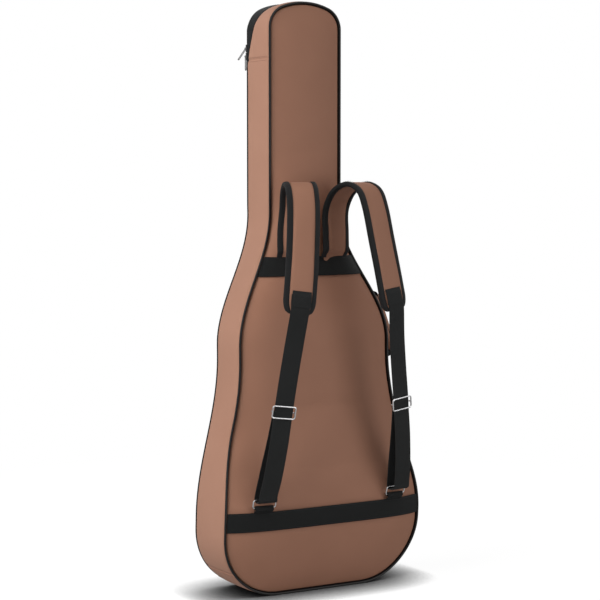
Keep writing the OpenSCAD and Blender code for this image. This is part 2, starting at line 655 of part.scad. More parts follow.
tab_r = wire_d / 2 + gap + web_t / 2;
tab_lead = 4;           // the tab runs straight for this length below the ring's bar
function by_bar(y, z) = ring_bar + turned([0, y, z], ring_turn);
tab_line = concat(
    [for (z = [lower_band_z - tab_lead, lower_band_z + tab_lead]) on_back(ring_x, z,
        web_t + gap + web_t / 2)],
    [by_bar(-tab_r, -tab_lead)],
    [for (a = [0 : 30 : 180]) by_bar(-tab_r * cos(a), tab_r * sin(a))],
    [by_bar(tab_r, -tab_lead)]
);
module ring_tab(side) mirrored(side) color(webbing_black)
    skin([for (i = [0 : len(tab_line) - 1]) let (w = turned([1, 0, 0], ring_turn),
        n = cross(tangent(tab_line, i), w))
        [for (q = flat(web_w, web_t)) tab_line[i] + w * q[0] + n * q[1]]]);

// ---- Wire rings and tri-glides ----

wire_half = (web_w + wire_play + wire_d) / 2;
wire_bend = 3.5;        // bend radius of the wire's corners

// A closed loop of wire in the XZ plane, centred, with its corners bent round
module wire_loop(l) {
    x = wire_half - wire_bend;
    z = l / 2 - wire_bend;
    for (end = [-1, 1]) {
        translate([-x, 0, end * l / 2]) rotate([0, 90, 0]) cylinder(d = wire_d, h = 2 * x, $fn = 24);
        translate([end * wire_half, 0, -z]) cylinder(d = wire_d, h = 2 * z, $fn = 24);
    }
    for (a = [0 : 3]) let (sx = a == 0 || a == 3 ? 1 : -1, sz = a < 2 ? 1 : -1)
        translate([sx * x, 0, sz * z]) rotate([90, -90 * a, 0]) rotate_extrude(angle = 90, $fn = 48)
            translate([wire_bend, 0]) circle(d = wire_d, $fn = 24);
}
module ring(side) mirrored(side) color(wire_silver)
    translate(ring_bar) rotate([ring_lean, 0, ring_turn]) translate([0, 0, ring_l / 2]) wire_loop(ring_l);

glide_across = let (w = turned([1, 0, 0], strap_angle(glide_z))) unit(w - glide_run * (w * glide_run));
glide_in = cross(glide_run, glide_across);
glide_off = web_t / 2 + gap + wire_d / 2;
nub_l = 1.2;            // how far the middle bar's ends show outside the frame
module triglide(side) mirrored(side) color(wire_silver) multmatrix([
    [glide_across[0], glide_in[0], glide_run[0], glide_mid[0]],
    [glide_across[1], glide_in[1], glide_run[1], glide_mid[1]],
    [glide_across[2], glide_in[2], glide_run[2], glide_mid[2]],
    [0, 0, 0, 1]]) {
    translate([0, -glide_off, 0]) wire_loop(glide_l);
    translate([-wire_half - nub_l, glide_off, 0]) rotate([0, 90, 0])
        cylinder(d = wire_d, h = 2 * wire_half + 2 * nub_l, $fn = 24);
    for (x = [-wire_half, wire_half]) translate([x, -glide_off, 0]) rotate([-90, 0, 0])
        cylinder(d = wire_d - 0.4, h = 2 * glide_off, $fn = 24);
}

// ---- Side handle ----

patch_t = 2;
patch_w = 36;
patch_h = 34;
bead_r = 4;
bead_l = 10;
bead_lift = 1.3;        // room for the bead's ends where the flank curves away from the handle's line
foot_width = 0.45;      // the webbing is gathered to this share of its width at its two ends
handle_y = 14;
handle_top_z = handle_z + handle_l;
function flank_normal(z) = unit([1, half_w(z - 1) / 2 - half_w(z + 1) / 2]);
function foot(z) = let (p = [half_w(z), z] + flank_normal(z) * (patch_t + gap + bead_lift + bead_r))
    [p[0], handle_y, p[1]];
handle_foot = foot(handle_z);
handle_head = foot(handle_top_z);
handle_span = norm(handle_head - handle_foot);
handle_lean = atan2(handle_head[0] - handle_foot[0], handle_head[2] - handle_foot[2]);
bow_l = 14;
grip_l = handle_span - 2 * bow_l - 4;
handle_stops = concat([for (i = [0 : 6]) bow_l * i / 6],
    [for (i = [0 : 6]) handle_span - bow_l + bow_l * i / 6]);
grip_tilt = atan2(handle_kick, handle_span);
function stand_off(z) = handle_rise + handle_kick * (0.5 - z / handle_span);
function bow(z) = stand_off(z) * ease(min(ramp(z, 0, bow_l),
    1 - ramp(z, handle_span - bow_l, handle_span)));
function gather(z) = foot_width + (1 - foot_width) * min(ramp(z, 0, bow_l * 0.6),
    1 - ramp(z, handle_span - bow_l * 0.6, handle_span));
module on_handle() translate(handle_foot) rotate([0, handle_lean, 0]) children();

module handle_patches() color(webbing_black) for (z = [handle_z, handle_top_z]) intersection() {
    difference() {
        outline_block(inset(-patch_t));
        outline_block(inset(0));
    }
    translate([0, handle_y - patch_w / 2, z - patch_h / 2]) cube([far, patch_w, patch_h]);
}
handle_line = [for (z = handle_stops) [bow(z), 0, z]];
module handle_webbing() color(webbing_black) on_handle() {
    skin([for (i = [0 : len(handle_line) - 1])
        let (t = tangent(handle_line, i), n = [t[2], 0, -t[0]],
        w = handle_web_w * gather(handle_line[i][2]))
        [for (q = flat(w, web_t)) handle_line[i] + [0, -q[0], 0] + n * q[1]]]);
    for (z = [-bead_l / 2, handle_span - bead_l / 2]) translate([0, 0, z])
        cylinder(r = bead_r, h = bead_l, $fn = 32);
}
module handle_grip() color(gusset_brown) on_handle() translate([handle_rise, 0, handle_span / 2])
    rotate([0, -grip_tilt, 0])
    linear_extrude(grip_l, center = true) difference() {
        union() {
            square([grip_d, handle_web_w - 6], center = true);
            for (y = [-1, 1]) translate([0, y * (handle_web_w / 2 - 3)]) circle(d = grip_d, $fn = 48);
        }
        square([web_t + gap, handle_web_w + gap], center = true);
    }
back_panel();
back_foam();
back_lining();
left_gusset();
right_gusset();
head_gusset();
base_gusset();
back_piping();
hinge_strip();
zip_tape_body();
zip_teeth_body();
neck_rest();
neck_strap();
end_pad();
lower_band();
upper_band();
strap_pad(-1);  // left_strap_pad
strap_pad(1);  // right_strap_pad
strap_binding(-1);  // left_strap_binding
strap_binding(1);  // right_strap_binding
strap_webbing(-1);  // left_strap_webbing
strap_webbing(1);  // right_strap_webbing
strap_patch(-1);  // left_strap_patch
strap_patch(1);  // right_strap_patch
ring_tab(-1);  // left_ring_tab
ring_tab(1);  // right_ring_tab
ring(-1);  // left_ring
ring(1);  // right_ring
triglide(-1);  // left_triglide
triglide(1);  // right_triglide
handle_patches();
handle_webbing();
handle_grip();
front_panel();
front_foam();
front_lining();
zip_tape_lid();
zip_teeth_lid();
pocket_panel();
pocket_zip_tape();
pocket_teeth();
pocket_slider();
pocket_pull();
upper_slider();
lower_slider();
upper_pull();
lower_pull();
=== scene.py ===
import bisect
from math import acos, asin, atan2, copysign, cos, dist, exp, hypot, pi, radians, sin, sqrt

import bpy
from mathutils import Matrix, Vector


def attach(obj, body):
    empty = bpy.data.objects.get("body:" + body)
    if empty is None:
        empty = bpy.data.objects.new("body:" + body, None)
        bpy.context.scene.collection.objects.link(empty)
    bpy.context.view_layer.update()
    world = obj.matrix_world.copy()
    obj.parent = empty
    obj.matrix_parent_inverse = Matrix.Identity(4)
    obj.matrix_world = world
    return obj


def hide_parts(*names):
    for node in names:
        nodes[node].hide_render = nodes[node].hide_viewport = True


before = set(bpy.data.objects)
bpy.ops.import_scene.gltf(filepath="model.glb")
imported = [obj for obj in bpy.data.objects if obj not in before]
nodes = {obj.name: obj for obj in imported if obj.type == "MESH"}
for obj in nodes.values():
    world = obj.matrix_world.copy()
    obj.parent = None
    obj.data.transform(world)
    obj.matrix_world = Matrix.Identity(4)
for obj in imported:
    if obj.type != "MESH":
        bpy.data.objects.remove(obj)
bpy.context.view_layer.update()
scene = bpy.context.scene
print("Frame loaded:", len(nodes), "CAD pieces")


# Modelling by hand: what every piece needs
def putDown():
    if bpy.context.object and bpy.context.object.mode != "OBJECT":
        bpy.ops.object.mode_set(mode="OBJECT")
    bpy.ops.object.select_all(action="DESELECT")


def takeUp(*objects):
    putDown()
    for obj in objects:
        obj.select_set(True)
    bpy.context.view_layer.objects.active = objects[0]


def named(obj, name):
    obj.name = obj.data.name = name
    return obj


def edit(obj, operator, **settings):
    takeUp(obj)
    bpy.ops.object.mode_set(mode="EDIT")
    bpy.ops.mesh.select_all(action="SELECT")
    operator(**settings)
    bpy.ops.object.mode_set(mode="OBJECT")
    return obj


def turnOver(obj):
    return edit(obj, bpy.ops.mesh.flip_normals)


def modify(obj, kind, **settings):
    takeUp(obj)
    modifier = obj.modifiers.new(kind.title(), kind)
    for key, value in settings.items():
        setattr(modifier, key, value)
    bpy.ops.object.modifier_apply(modifier=modifier.name)
    return obj


def smooth(obj, degrees):
    takeUp(obj)
    bpy.ops.object.shade_smooth_by_angle(angle=radians(degrees))
    return obj


def soften(obj, degrees=60):
    return smooth(modify(obj, "SUBSURF", levels=1, render_levels=1), degrees)


def thicken(obj, thickness, edge=0.0, offset=-1, **settings):
    modify(obj, "SOLIDIFY", thickness=thickness, offset=offset, use_even_offset=True, **settings)
    if edge:
        modify(obj, "BEVEL", width=edge, segments=2, limit_method="ANGLE", angle_limit=radians(50))
    return smooth(obj, 40)


# A sheet laid as a grid: place(a, b) says where the stops a across it and b along it come to lie
def lay(name, across, along, place, size=(1, 1), closed=False):
    putDown()
    columns, rows = len(across) - 1, len(along) - 1
    bpy.ops.mesh.primitive_grid_add(x_subdivisions=columns, y_subdivisions=rows, size=1)
    obj = named(bpy.context.object, name)
    stops = [(across[round((v.co.x + 0.5) * columns)], along[round((v.co.y + 0.5) * rows)])
             for v in obj.data.vertices]
    for vertex, stop in zip(obj.data.vertices, stops):
        vertex.co = place(*stop)
    for corner, loop in zip(obj.data.uv_layers.active.data, obj.data.loops):
        a, b = stops[loop.vertex_index]
        corner.uv = (a * size[0], b * size[1])
    return edit(obj, bpy.ops.mesh.remove_doubles, threshold=1e-5) if closed else obj


def closeEnds():
    bpy.ops.mesh.select_all(action="DESELECT")
    bpy.ops.mesh.select_mode(type="EDGE")
    bpy.ops.mesh.select_non_manifold()
    bpy.ops.mesh.edge_face_add()
    bpy.ops.mesh.select_all(action="SELECT")
    bpy.ops.mesh.normals_make_consistent(inside=False)


# A tube: the sheet is welded shut round, and its two ends are filled
def tube(name, around, along, place, size=(1, 1)):
    return edit(lay(name, shares(around), along, place, size, closed=True), closeEnds)


def shares(count, low=0, high=1):
    return [low + (high - low) * k / count for k in range(count + 1)]


def mix(a, b, t):
    return a + (b - a) * t


# Stops that crowd together at both ends, where a seam pulls the cloth in
def seamStops(length, step, seam=0.004):
    close = [seam * k / length for k in (0, 0.25, 0.5, 1, 1.8)]
    count = max(2, round(length / step))
    return close + shares(count, close[-1], 1 - close[-1])[1:-1] + [1 - c for c in reversed(close)]


def mirrorOf(obj, name):
    takeUp(obj)
    bpy.ops.object.duplicate()
    copy = named(bpy.context.object, name)
    for vertex in copy.data.vertices:
        vertex.co.x = -vertex.co.x
    return turnOver(copy)


def join(name, objects):
    takeUp(*objects)
    bpy.ops.object.join()
    return named(bpy.context.object, name)


# One small shape set down many times, as one piece; each place is (point, along, up)
def repeat(name, template, places):
    mesh = bpy.data.meshes.new(name)
    points, faces = [], []
    for point, along, up in places:
        side = along.cross(up).normalized()
        rise = side.cross(along).normalized()
        first = len(points)
        points += [point + side * v.co.x + along * v.co.y + rise * v.co.z for v in template.data.vertices]
        faces += [[first + k for k in face.vertices] for face in template.data.polygons]
    mesh.from_pydata(points, [], faces)
    bpy.data.objects.remove(template)
    obj = bpy.data.objects.new(name, mesh)
    scene.collection.objects.link(obj)
    return smooth(obj, 60)


# A padded cloth swells under pressure while its seams stay put; the folds are evened out after,
# and cap is the farthest that any point may move
clothFeel = {"quality": 4, "mass": 0.25, "tension_stiffness": 18, "compression_stiffness": 18,
             "bending_stiffness": 2.0, "use_pressure": True}


def swellCloth(obj, pressure, cap, frames, pinned):
    rest = [v.co.copy() for v in obj.data.vertices]
    seam = obj.vertex_groups.new(name="seam")
    seam.add([v.index for v in obj.data.vertices if pinned(v.co)], 1.0, "REPLACE")
    takeUp(obj)
    cloth = obj.modifiers.new("Swell", "CLOTH")
    for key, value in clothFeel.items():
        setattr(cloth.settings, key, value)
    cloth.settings.uniform_pressure_force = pressure
    cloth.settings.vertex_group_mass = seam.name
    cloth.settings.effector_weights.gravity = 0
    cloth.point_cache.frame_end = frames
    for number in range(1, frames + 1):
        scene.frame_set(number)
    bpy.ops.object.modifier_apply(modifier=cloth.name)
    scene.frame_set(1)
    moves = [vertex.co - start for vertex, start in zip(obj.data.vertices, rest)]
    joined = [[] for _ in moves]
    for a, b in obj.data.edge_keys:
        joined[a].append(b)
        joined[b].append(a)
    for _ in range(6):
        moves = [(move + sum((moves[k] for k in near), Vector()) / len(near)) / 2
                 for move, near in zip(moves, joined)]
    farthest = max(move.length for move in moves)
    for vertex, start, move in zip(obj.data.vertices, rest, moves):
        vertex.co = start + move * min(1, cap / max(move.length, 1e-9))
    obj.vertex_groups.clear()
    print(obj.name, "swelled by", round(farthest * 1000, 1), "mm, capped at", round(cap * 1000, 1))


# Hands a finished piece to the frame: its body, its finish and the CAD nodes that it stands for
def hand(obj, body, slot, paint, *stoodFor, fill=None):
    if not obj.data.materials:
        obj.data.materials.append(paint)
    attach(obj, body)
    if stoodFor:
        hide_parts(*stoodFor)


# The same for a right-hand piece and its mirror image
def handPair(obj, part, slot, paint, fill=None):
    other = mirrorOf(obj, "left" + part.title().replace("_", ""))
    hand(obj, "bag", slot, paint, "right_" + part, fill=fill)
    hand(other, "bag", slot, paint, "left_" + part, fill=fill)


# Shader maths: a socket that takes part in Python sums
class Sig:
    def __init__(self, paint, socket):
        self.paint = paint
        self.socket = socket

    def maths(self, operation, *values):
        return self.paint.node("ShaderNodeMath", {"operation": operation}, dict(enumerate((self, *values))))


for sign, operation in (("add", "ADD"), ("radd", "ADD"), ("sub", "SUBTRACT"), ("mul", "MULTIPLY"),
                        ("truediv", "DIVIDE"), ("pow", "POWER"), ("mod", "FLOORED_MODULO")):
    setattr(Sig, f"__{sign}__", lambda self, other, operation=operation: self.maths(operation, other))


class Paint:
    def __init__(self, block):
        self.block = block
        block.use_nodes = True
        self.tree = block.node_tree
        self.tree.nodes.clear()

    def node(self, kind, settings=None, inputs=None, out=0):
        made = self.tree.nodes.new(kind)
        for key, value in (settings or {}).items():
            setattr(made, key, value)
        for key, value in (inputs or {}).items():
            socket = made.inputs[key]
            if isinstance(value, Sig):
                self.tree.links.new(value.socket, socket)
            else:
                socket.default_value = (*value, 1) if socket.type == "RGBA" else value
        return Sig(self, made.outputs[out])

    def place(self, source="Object"):
        return self.node("ShaderNodeTexCoord", out=source)

    def parts(self, vector):
        return [self.node("ShaderNodeSeparateXYZ", inputs={0: vector}, out=axis) for axis in "XYZ"]

    def rays(self, *kinds):
        return [self.node("ShaderNodeLightPath", out=kind) for kind in kinds]

    def noise(self, scale, detail=2, roughness=0.6):
        return self.node("ShaderNodeTexNoise", inputs={
            "Vector": self.place(), "Scale": scale, "Detail": detail, "Roughness": roughness})

    def cells(self, scale, feature="F1"):
        return self.node("ShaderNodeTexVoronoi", {"feature": feature}, {"Vector": self.place(), "Scale": scale})

    def waves(self, run, pitch):
        return (run * (2 * pi / pitch)).maths("SINE")

    def tint(self, share, first, second):
        return self.node("ShaderNodeMix", {"data_type": "RGBA"}, {0: share, 6: first, 7: second}, 2)

    def bump(self, height, distance, strength):
        return self.node("ShaderNodeBump", inputs={"Height": height, "Distance": distance, "Strength": strength})

    def end(self, shader, kind="Material"):
        output = self.tree.nodes.new("ShaderNodeOutput" + kind)
        self.tree.links.new(shader.socket, output.inputs["Surface"])
        return self.block

    def finish(self, **values):
        sockets = {"colour": "Base Color", "specular": "Specular IOR Level", "sheen": "Sheen Weight",
                   "sheenRoughness": "Sheen Roughness", "sheenTint": "Sheen Tint"}
        return self.end(self.node("ShaderNodeBsdfPrincipled", inputs={
            sockets.get(key, key.title()): value for key, value in values.items()}))


def newPaint(name):
    return Paint(bpy.data.materials.new(name))


def colour(*parts):
    def linear(value):
        return value / 12.92 if value <= 0.04045 else ((value + 0.055) / 1.055) ** 2.4
    return tuple(linear(part / 255) for part in parts)


# Matt leather-like cloth: a fine grain with soft creases, a little darker and paler from place to place
clothLook = {
    "base": (156, 113, 92), "worn": (165, 121, 100), "deep": (146, 104, 84), "sheen": (196, 160, 142),
    "grain": 1150, "speck": 460, "creases": 38, "patches": 7, "depth": 0.00022, "roughness": 0.56,
}


def clothPaint(name, look):
    paint = newPaint(name)
    patches = paint.noise(look["patches"], 3, 0.55)
    speck = paint.noise(look["speck"])
    grain = paint.cells(look["grain"], "SMOOTH_F1")
    creases = paint.noise(look["creases"], 3)
    tone = paint.tint(patches, colour(*look["deep"]), colour(*look["worn"]))
    tone = paint.tint(speck * 0.35 + 0.1, tone, colour(*look["base"]))
    height = grain * 0.7 + speck * 0.5 + creases * 1.4
    return paint.finish(
        colour=tone, roughness=look["roughness"] + patches * 0.12, normal=paint.bump(height, look["depth"], 0.55),
        specular=0.16, sheen=0.04, sheenRoughness=0.5, sheenTint=colour(*look["sheen"]))


# Woven nylon: ribs along the piece and a slant of threads across them, on the piece's own UV map in metres
weaveLook = {
    "base": (39, 40, 40), "deep": (23, 24, 24), "worn": (50, 51, 51),
    "rib": 0.0021, "thread": 0.0009, "fuzz": 900, "patches": 24, "depth": 0.00032, "roughness": 0.66,
}


def weavePaint(name, look):
    paint = newPaint(name)
    across, along, _ = paint.parts(paint.place("UV"))
    rib = paint.waves(across, look["rib"])
    lean = ((across / look["rib"]) % 1.0 - 0.5).maths("ABSOLUTE") * look["rib"]
    thread = paint.waves(along + lean, look["thread"])
    fuzz = paint.noise(look["fuzz"])
    patches = paint.noise(look["patches"], 2, 0.5)
    light = (thread * 0.3 + rib * 0.2 + 0.45) * 0.8 + fuzz * 0.2
    tone = paint.tint(light, colour(*look["deep"]), colour(*look["base"]))
    tone = paint.tint(patches * 0.22, tone, colour(*look["worn"]))
    height = rib * 0.35 + thread * 0.5 + fuzz * 0.5
    return paint.finish(
        colour=tone, roughness=look["roughness"] + fuzz * 0.1, normal=paint.bump(height, look["depth"], 0.6),
        specular=0.18, sheen=0.02, sheenRoughness=0.4)


def ribbedPaint(name, base, worn, pitch):
    paint = newPaint(name)
    rib = paint.waves(paint.parts(paint.place("UV"))[1], pitch)
    fuzz = paint.noise(700)
    return paint.finish(
        colour=paint.tint(rib * 0.25 + fuzz * 0.5, colour(*base), colour(*worn)),
        roughness=0.6 + paint.noise(30, 2, 0.5) * 0.12, normal=paint.bump(rib * 0.6 + fuzz * 0.5, 0.0002, 0.6),
        specular=0.22, sheen=0.02, sheenRoughness=0.4)


# A smooth coated tape, faintly twisted round its cord
def pipingPaint(name, base, worn):
    paint = newPaint(name)
    twist = paint.noise(30, 3, 0.5)
    fine = paint.noise(420)
    return paint.finish(
        colour=paint.tint(twist * 0.6 + fine * 0.3, colour(*base), colour(*worn)),
        roughness=0.34 + twist * 0.16, normal=paint.bump(fine + twist, 0.00025, 0.4), specular=0.32)


# Nickel plate with faint rubbed marks
def metalPaint(name, grey, roughness):
    paint = newPaint(name)
    rub = paint.noise(160, 3)
    tone = paint.tint(paint.noise(45, 2, 0.5), grey, [c * 0.86 for c in grey])
    return paint.finish(
        colour=tone, metallic=1.0, roughness=roughness + rub * 0.1, normal=paint.bump(rub, 0.00006, 0.4))


def knitPaint(name, base, deep, stitch, depth, sheen):
    paint = newPaint(name)
    cell = paint.cells(1 / stitch)
    fuzz = paint.noise(600, 3, 0.7)
    patches = paint.noise(12, 3, 0.5)
    return paint.finish(
        colour=paint.tint(cell * 0.6 + fuzz * 0.3 + patches * 0.2, colour(*base), colour(*deep)),
        roughness=0.82 + patches * 0.1, normal=paint.bump(fuzz * 0.8 - cell, depth, 0.6),
        specular=0.25, sheen=sheen, sheenRoughness=0.5)


def threadPaint(name, base, deep):
    paint = newPaint(name)
    ply = paint.noise(1600)
    return paint.finish(colour=paint.tint(ply, colour(*base), colour(*deep)),
                        roughness=0.55 + ply * 0.2, normal=paint.bump(ply, 0.0001, 0.5))


def coilPaint(name, base, worn):
    paint = newPaint(name)
    fine = paint.noise(500, 2, 0.5)
    return paint.finish(colour=paint.tint(fine, colour(*base), colour(*worn)),
                        roughness=0.32 + fine * 0.2, specular=0.5)


# Two copies of one cloth. brownCloth, on the covers, pads and pocket, is a little darker and redder. gussetCloth, on
# the gussets and the grip, is a little paler. The difference is painted light and shade, tuned for faces in shade and
# faces turned to the key light.
brownCloth = clothPaint("brownCloth", clothLook)
gussetCloth = clothPaint("gussetCloth", {
    **clothLook, "base": (158, 118, 99), "worn": (167, 127, 108), "deep": (148, 109, 90)})
blackWebbing = weavePaint("blackWebbing", weaveLook)
bandWebbing = weavePaint("bandWebbing", {**weaveLook, "base": (24, 25, 25), "worn": (33, 34, 34)})
tapeWeave = weavePaint("zipTapeWeave", {
    **weaveLook, "base": (24, 25, 26), "worn": (33, 34, 35), "rib": 0.0016, "thread": 0.0007, "depth": 0.0002})
blackBinding = ribbedPaint("blackBinding", (20, 20, 21), (34, 35, 35), 0.0012)
blackPiping = pipingPaint("blackPiping", (13, 13, 13), (25, 25, 25))
nickel = metalPaint("polishedNickel", (0.78, 0.78, 0.79), 0.12)
sliderNickel = metalPaint("brushedNickel", (0.42, 0.42, 0.43), 0.22)
greyFoam = knitPaint("greyFoamCloth", (120, 120, 124), (84, 84, 88), 0.0022, 0.0004, 0.3)
greyPlush = knitPaint("greyPlush", (78, 78, 82), (44, 44, 48), 0.0016, 0.0006, 0.6)
brownThread = threadPaint("brownThread", (118, 80, 64), (96, 64, 50))
blackThread = threadPaint("blackThread", (34, 34, 35), (20, 20, 21))
blackCoil = coilPaint("blackCoil", (22, 22, 23), (34, 34, 35))
print("Materials made")


# The bag's outline seen from behind and its side profile, in metres
bag = {
    "height": 1.07, "boutWidth": 0.412, "waistWidth": 0.316, "neckWidth": 0.152, "waistZ": 0.45, "shoulderZ": 0.69,
    "cornerRadius": 0.118, "crownRadius": 0.135, "crownCorner": 0.042, "boutRise": 0.014, "waistDrop": 0.022,
    "backLine": [(0, -0.055), (0.148, -0.07), (0.31, -0.041), (0.45, -0.037), (0.69, 0)],
    "frontLine": [(0, 0.056), (0.148, 0.046), (0.47, 0.053), (0.71, 0.087)],
    "edge": 0.0063, "wall": 0.008, "gap": 0.0003, "backCrown": 0.022, "frontCrown": 0.010,
    "seamZ": 0.966, "baseSeamZ": 0.046, "foam": 0.012, "lidFoam": 0.010, "lining": 0.0015,
}
gap = bag["gap"]


def ease(t):
    return (1 - cos(pi * t)) / 2


def ramp(z, low, high):
    return max(0.0, min(1.0, (z - low) / (high - low)))


def follow(line, z):
    for (lowZ, low), (highZ, high) in zip(line, line[1:]):
        if z < highZ:
            return mix(low, high, ease(ramp(z, lowZ, highZ)))
    return line[-1][1]


def backY(z):
    return follow(bag["backLine"], z)


def frontY(z):
    return follow(bag["frontLine"], z)


def halfWidth(z):
    bout, waist, neck = bag["boutWidth"] / 2, bag["waistWidth"] / 2, bag["neckWidth"] / 2
    if z < bag["waistZ"]:
        low, high = bag["cornerRadius"] + bag["boutRise"], bag["waistZ"] - bag["waistDrop"]
        return mix(bout, waist, ease(ramp(z, low, high)))
    return mix(waist, neck, ease(ramp(z, bag["waistZ"], bag["shoulderZ"])))


headSide = bag["neckWidth"] / 2 - bag["crownCorner"]
headArc = bag["crownRadius"] - bag["crownCorner"]
crownLow = bag["height"] - bag["crownRadius"]
crownZ = crownLow + sqrt(headArc ** 2 - headSide ** 2)


def arc(x, z, radius, angles):
    return [(x + radius * cos(angle), z + radius * sin(angle)) for angle in angles]


def halfOutline():
    radius, split = bag["cornerRadius"], acos(headSide / headArc)
    return ([(x, 0.0) for x in shares(16, 0, 0.08)]
            + arc(bag["boutWidth"] / 2 - radius, radius, radius, shares(48, -pi / 2, 0))
            + [(halfWidth(z), z) for z in shares(300, radius, crownZ)[1:-1]]
            + arc(headSide, crownZ, bag["crownCorner"], shares(32, 0, split))
            + arc(0, crownLow, bag["crownRadius"], shares(24, split, pi / 2)[1:]))


rightHalf = halfOutline()
loopLine = rightHalf + [(-x, z) for x, z in reversed(rightHalf[:-1])]
loopRun = [0.0]
for start, finish in zip(loopLine, loopLine[1:]):
    loopRun.append(loopRun[-1] + dist(start, finish))
loopLength = loopRun[-1]


def onLoop(run):
    run %= loopLength
    k = min(bisect.bisect_right(loopRun, run), len(loopRun) - 1) - 1
    t = (run - loopRun[k]) / max(1e-9, loopRun[k + 1] - loopRun[k])
    return [mix(a, b, t) for a, b in zip(loopLine[k], loopLine[k + 1])]


# Point of the outline at a share of the way round from the middle of the base, with its outward normal
def rim(share):
    run, step = share * loopLength, 0.002
    x, z = onLoop(run)
    (xa, za), (xb, zb) = onLoop(run - step), onLoop(run + step)
    length = hypot(xb - xa, zb - za)
    return x, z, (zb - za) / length, (xa - xb) / length


def rimZ(share):
    return rim(share)[1]


def rimOut(share):
    _, _, nx, nz = rim(share)
    return Vector((nx, 0, nz))


def inset(share, depth):
    x, z, nx, nz = rim(share)
    return x - nx * depth, z - nz * depth


# A point so far inwards from the outline, and so far along y from the back or front seam
def offSeam(share, seam, inward, y):
    x, z, nx, nz = rim(share)
    return Vector((x - nx * inward, seam(z) + y, z - nz * inward))


# The share of the way round at which the right-hand side reaches height z
def shareAt(z):
    low, high = 0.0, 0.5
    for _ in range(40):
        middle = (low + high) / 2
        low, high = (middle, high) if rimZ(middle) < z else (low, middle)
    return low


# Padded panels: rows run from the seam inwards, and both halves meet along the middle
spine = {
    "low": 0.150, "high": 0.965, "power": 5, "neckPower": 3, "neckRise": 0.34, "neckFrom": 0.66, "neckTo": 0.80,
    "bridge": 0.055, "bridgeTop": 0.45,
}


def panelRows(count):
    return [1.01] + [1 - share ** 1.5 for share in shares(count)]


# The cover is rounder over the body and flatter along the neck
def crownAt(s, z):
    neck = ramp(z, spine["neckFrom"], spine["neckTo"])
    return mix(1, spine["neckRise"], neck) * (1 - s ** mix(spine["power"], spine["neckPower"], neck))


# Cloth under tension bridges the hollow over the lower bout
def bridged(z):
    reach = spine["bridge"]
    if not spine["low"] + reach < z < spine["bridgeTop"]:
        return backY(z)
    chord = (backY(z - reach) + backY(z + reach)) / 2
    return mix(backY(z), min(backY(z), chord), ramp(spine["bridgeTop"] - z, 0, reach))


def spineZ(z):
    return max(spine["low"], min(spine["high"], z))


# A point of a cover; past its edge (s above 1) it is the hem, turned in under the seam
def coverPoint(share, s, edge, seam, side, look, rise):
    z = rimZ(share)
    if s > 1:
        x, z = inset(share, edge(z) - look["hemOut"])
        return Vector((x, seam(z) - side * look["hemIn"], z))
    middle = spineZ(z)
    x, z = inset(share, edge(z))
    x, z = x * s, mix(middle, z, s)
    return Vector((x, seam(z) + side * mix(look["lip"], rise, crownAt(s, z)), z))


# How far out the back cover stands where straps and bands lie on it
def panelY(x, z):
    shape = crownAt(min(1, abs(x) / (halfWidth(z) - bag["edge"])), z)
    return mix(backY(z), bridged(z), shape) - mix(0.002, bag["backCrown"], shape)


# Back cover: pad of foam under cloth, sewn down along the piping, pressed in a little under the two bands
backCover = {
    "columns": 384, "rows": 30, "swell": 3.2, "cap": 0.004, "slack": 0.0008, "pinned": 0.0042,
    "hemOut": 0.0012, "hemIn": 0.002, "lip": 0.001,
}
bands = {
    "width": 0.035, "thickness": 0.002, "lowZ": 0.143, "highZ": 0.591, "press": 0.0012, "soft": 0.008, "tuck": 0.0045,
}


def bandPress(z):
    nearest = min(abs(z - bands["lowZ"]), abs(z - bands["highZ"]))
    return ramp(bands["width"] / 2 + bands["soft"] - nearest, 0, bands["soft"])


def backPoint(s, share):
    point = coverPoint(share, s, lambda z: bag["edge"], backY, -1, backCover, bag["backCrown"])
    if s <= 1:
        point.y += (bridged(point.z) - backY(point.z)) * crownAt(s, point.z)
        point.y += bands["press"] * bandPress(point.z) * ramp(1 - s, 0, 0.06)
        point.y += backCover["slack"] * ramp(1 - s, 0, 0.1)
    return point


cover = lay("backCover", panelRows(backCover["rows"]), shares(backCover["columns"]), backPoint, closed=True)
turnOver(cover)
swellCloth(cover, backCover["swell"], backCover["cap"], 16,
           lambda p: abs(p.y - backY(p.z)) < backCover["pinned"] or bandPress(p.z) > 0.6)
hand(soften(cover), "bag", "cover", brownCloth, "back_panel", fill=0.8)
print("Back cover made:", len(cover.data.vertices), "points")

# Gussets: the padded side walls, one piece each side, one over the head and one under the base
gusset = {
    "puff": 0.0013, "tuck": 0.0013, "seamTuck": 0.0016, "crease": 0.0022, "hem": 0.0010, "hemDrop": 0.0011,
    "rows": 14, "depth": 0.13, "step": 0.007, "thickness": 0.0072,
}
zipLook = {
    "width": 0.028, "cut": 0.0063, "turnZ": 0.95, "headRecess": 0.054, "headBend": 1.4, "in": 0.006, "tilt": 40,
    "drop": 0.001, "split": 0.0005, "teeth": 0.003, "lidIn": 0.022, "tape": 0.0016, "cloth": 0.0011,
    "arc": 33.75, "laneLow": 0.714, "laneClear": 0.0085, "plateReach": 0.0063, "columns": 520,
}


# How far the gusset's front edge lies behind the front seam
def recess(z):
    return mix(zipLook["cut"], zipLook["headRecess"], ramp(z, zipLook["turnZ"], bag["height"]) ** zipLook["headBend"])


def dip(away, width):
    return exp(-((away / width) ** 2))


def gussetPoint(v, share, ends=()):
    x, z, nx, nz = rim(share)
    low, high = backY(z) + gap, frontY(z) - recess(z) - gusset["hem"]
    width = high - low
    toHem = (1 - v) * width
    out = gusset["puff"] * (1 - abs(2 * v - 1) ** 3) * ramp(toHem, 0.004, 0.018)
    out -= gusset["tuck"] * dip(min(v * width, toHem), gusset["crease"])
    out -= gusset["hemDrop"] * dip(toHem, 0.004) * ramp(zipLook["turnZ"] + 0.01 - z, 0, 0.02)
    for end in ends:
        out -= gusset["seamTuck"] * dip((share - end) * loopLength, gusset["crease"])
    return Vector((x + nx * out, low + width * v, max(0.0, z + nz * out)))


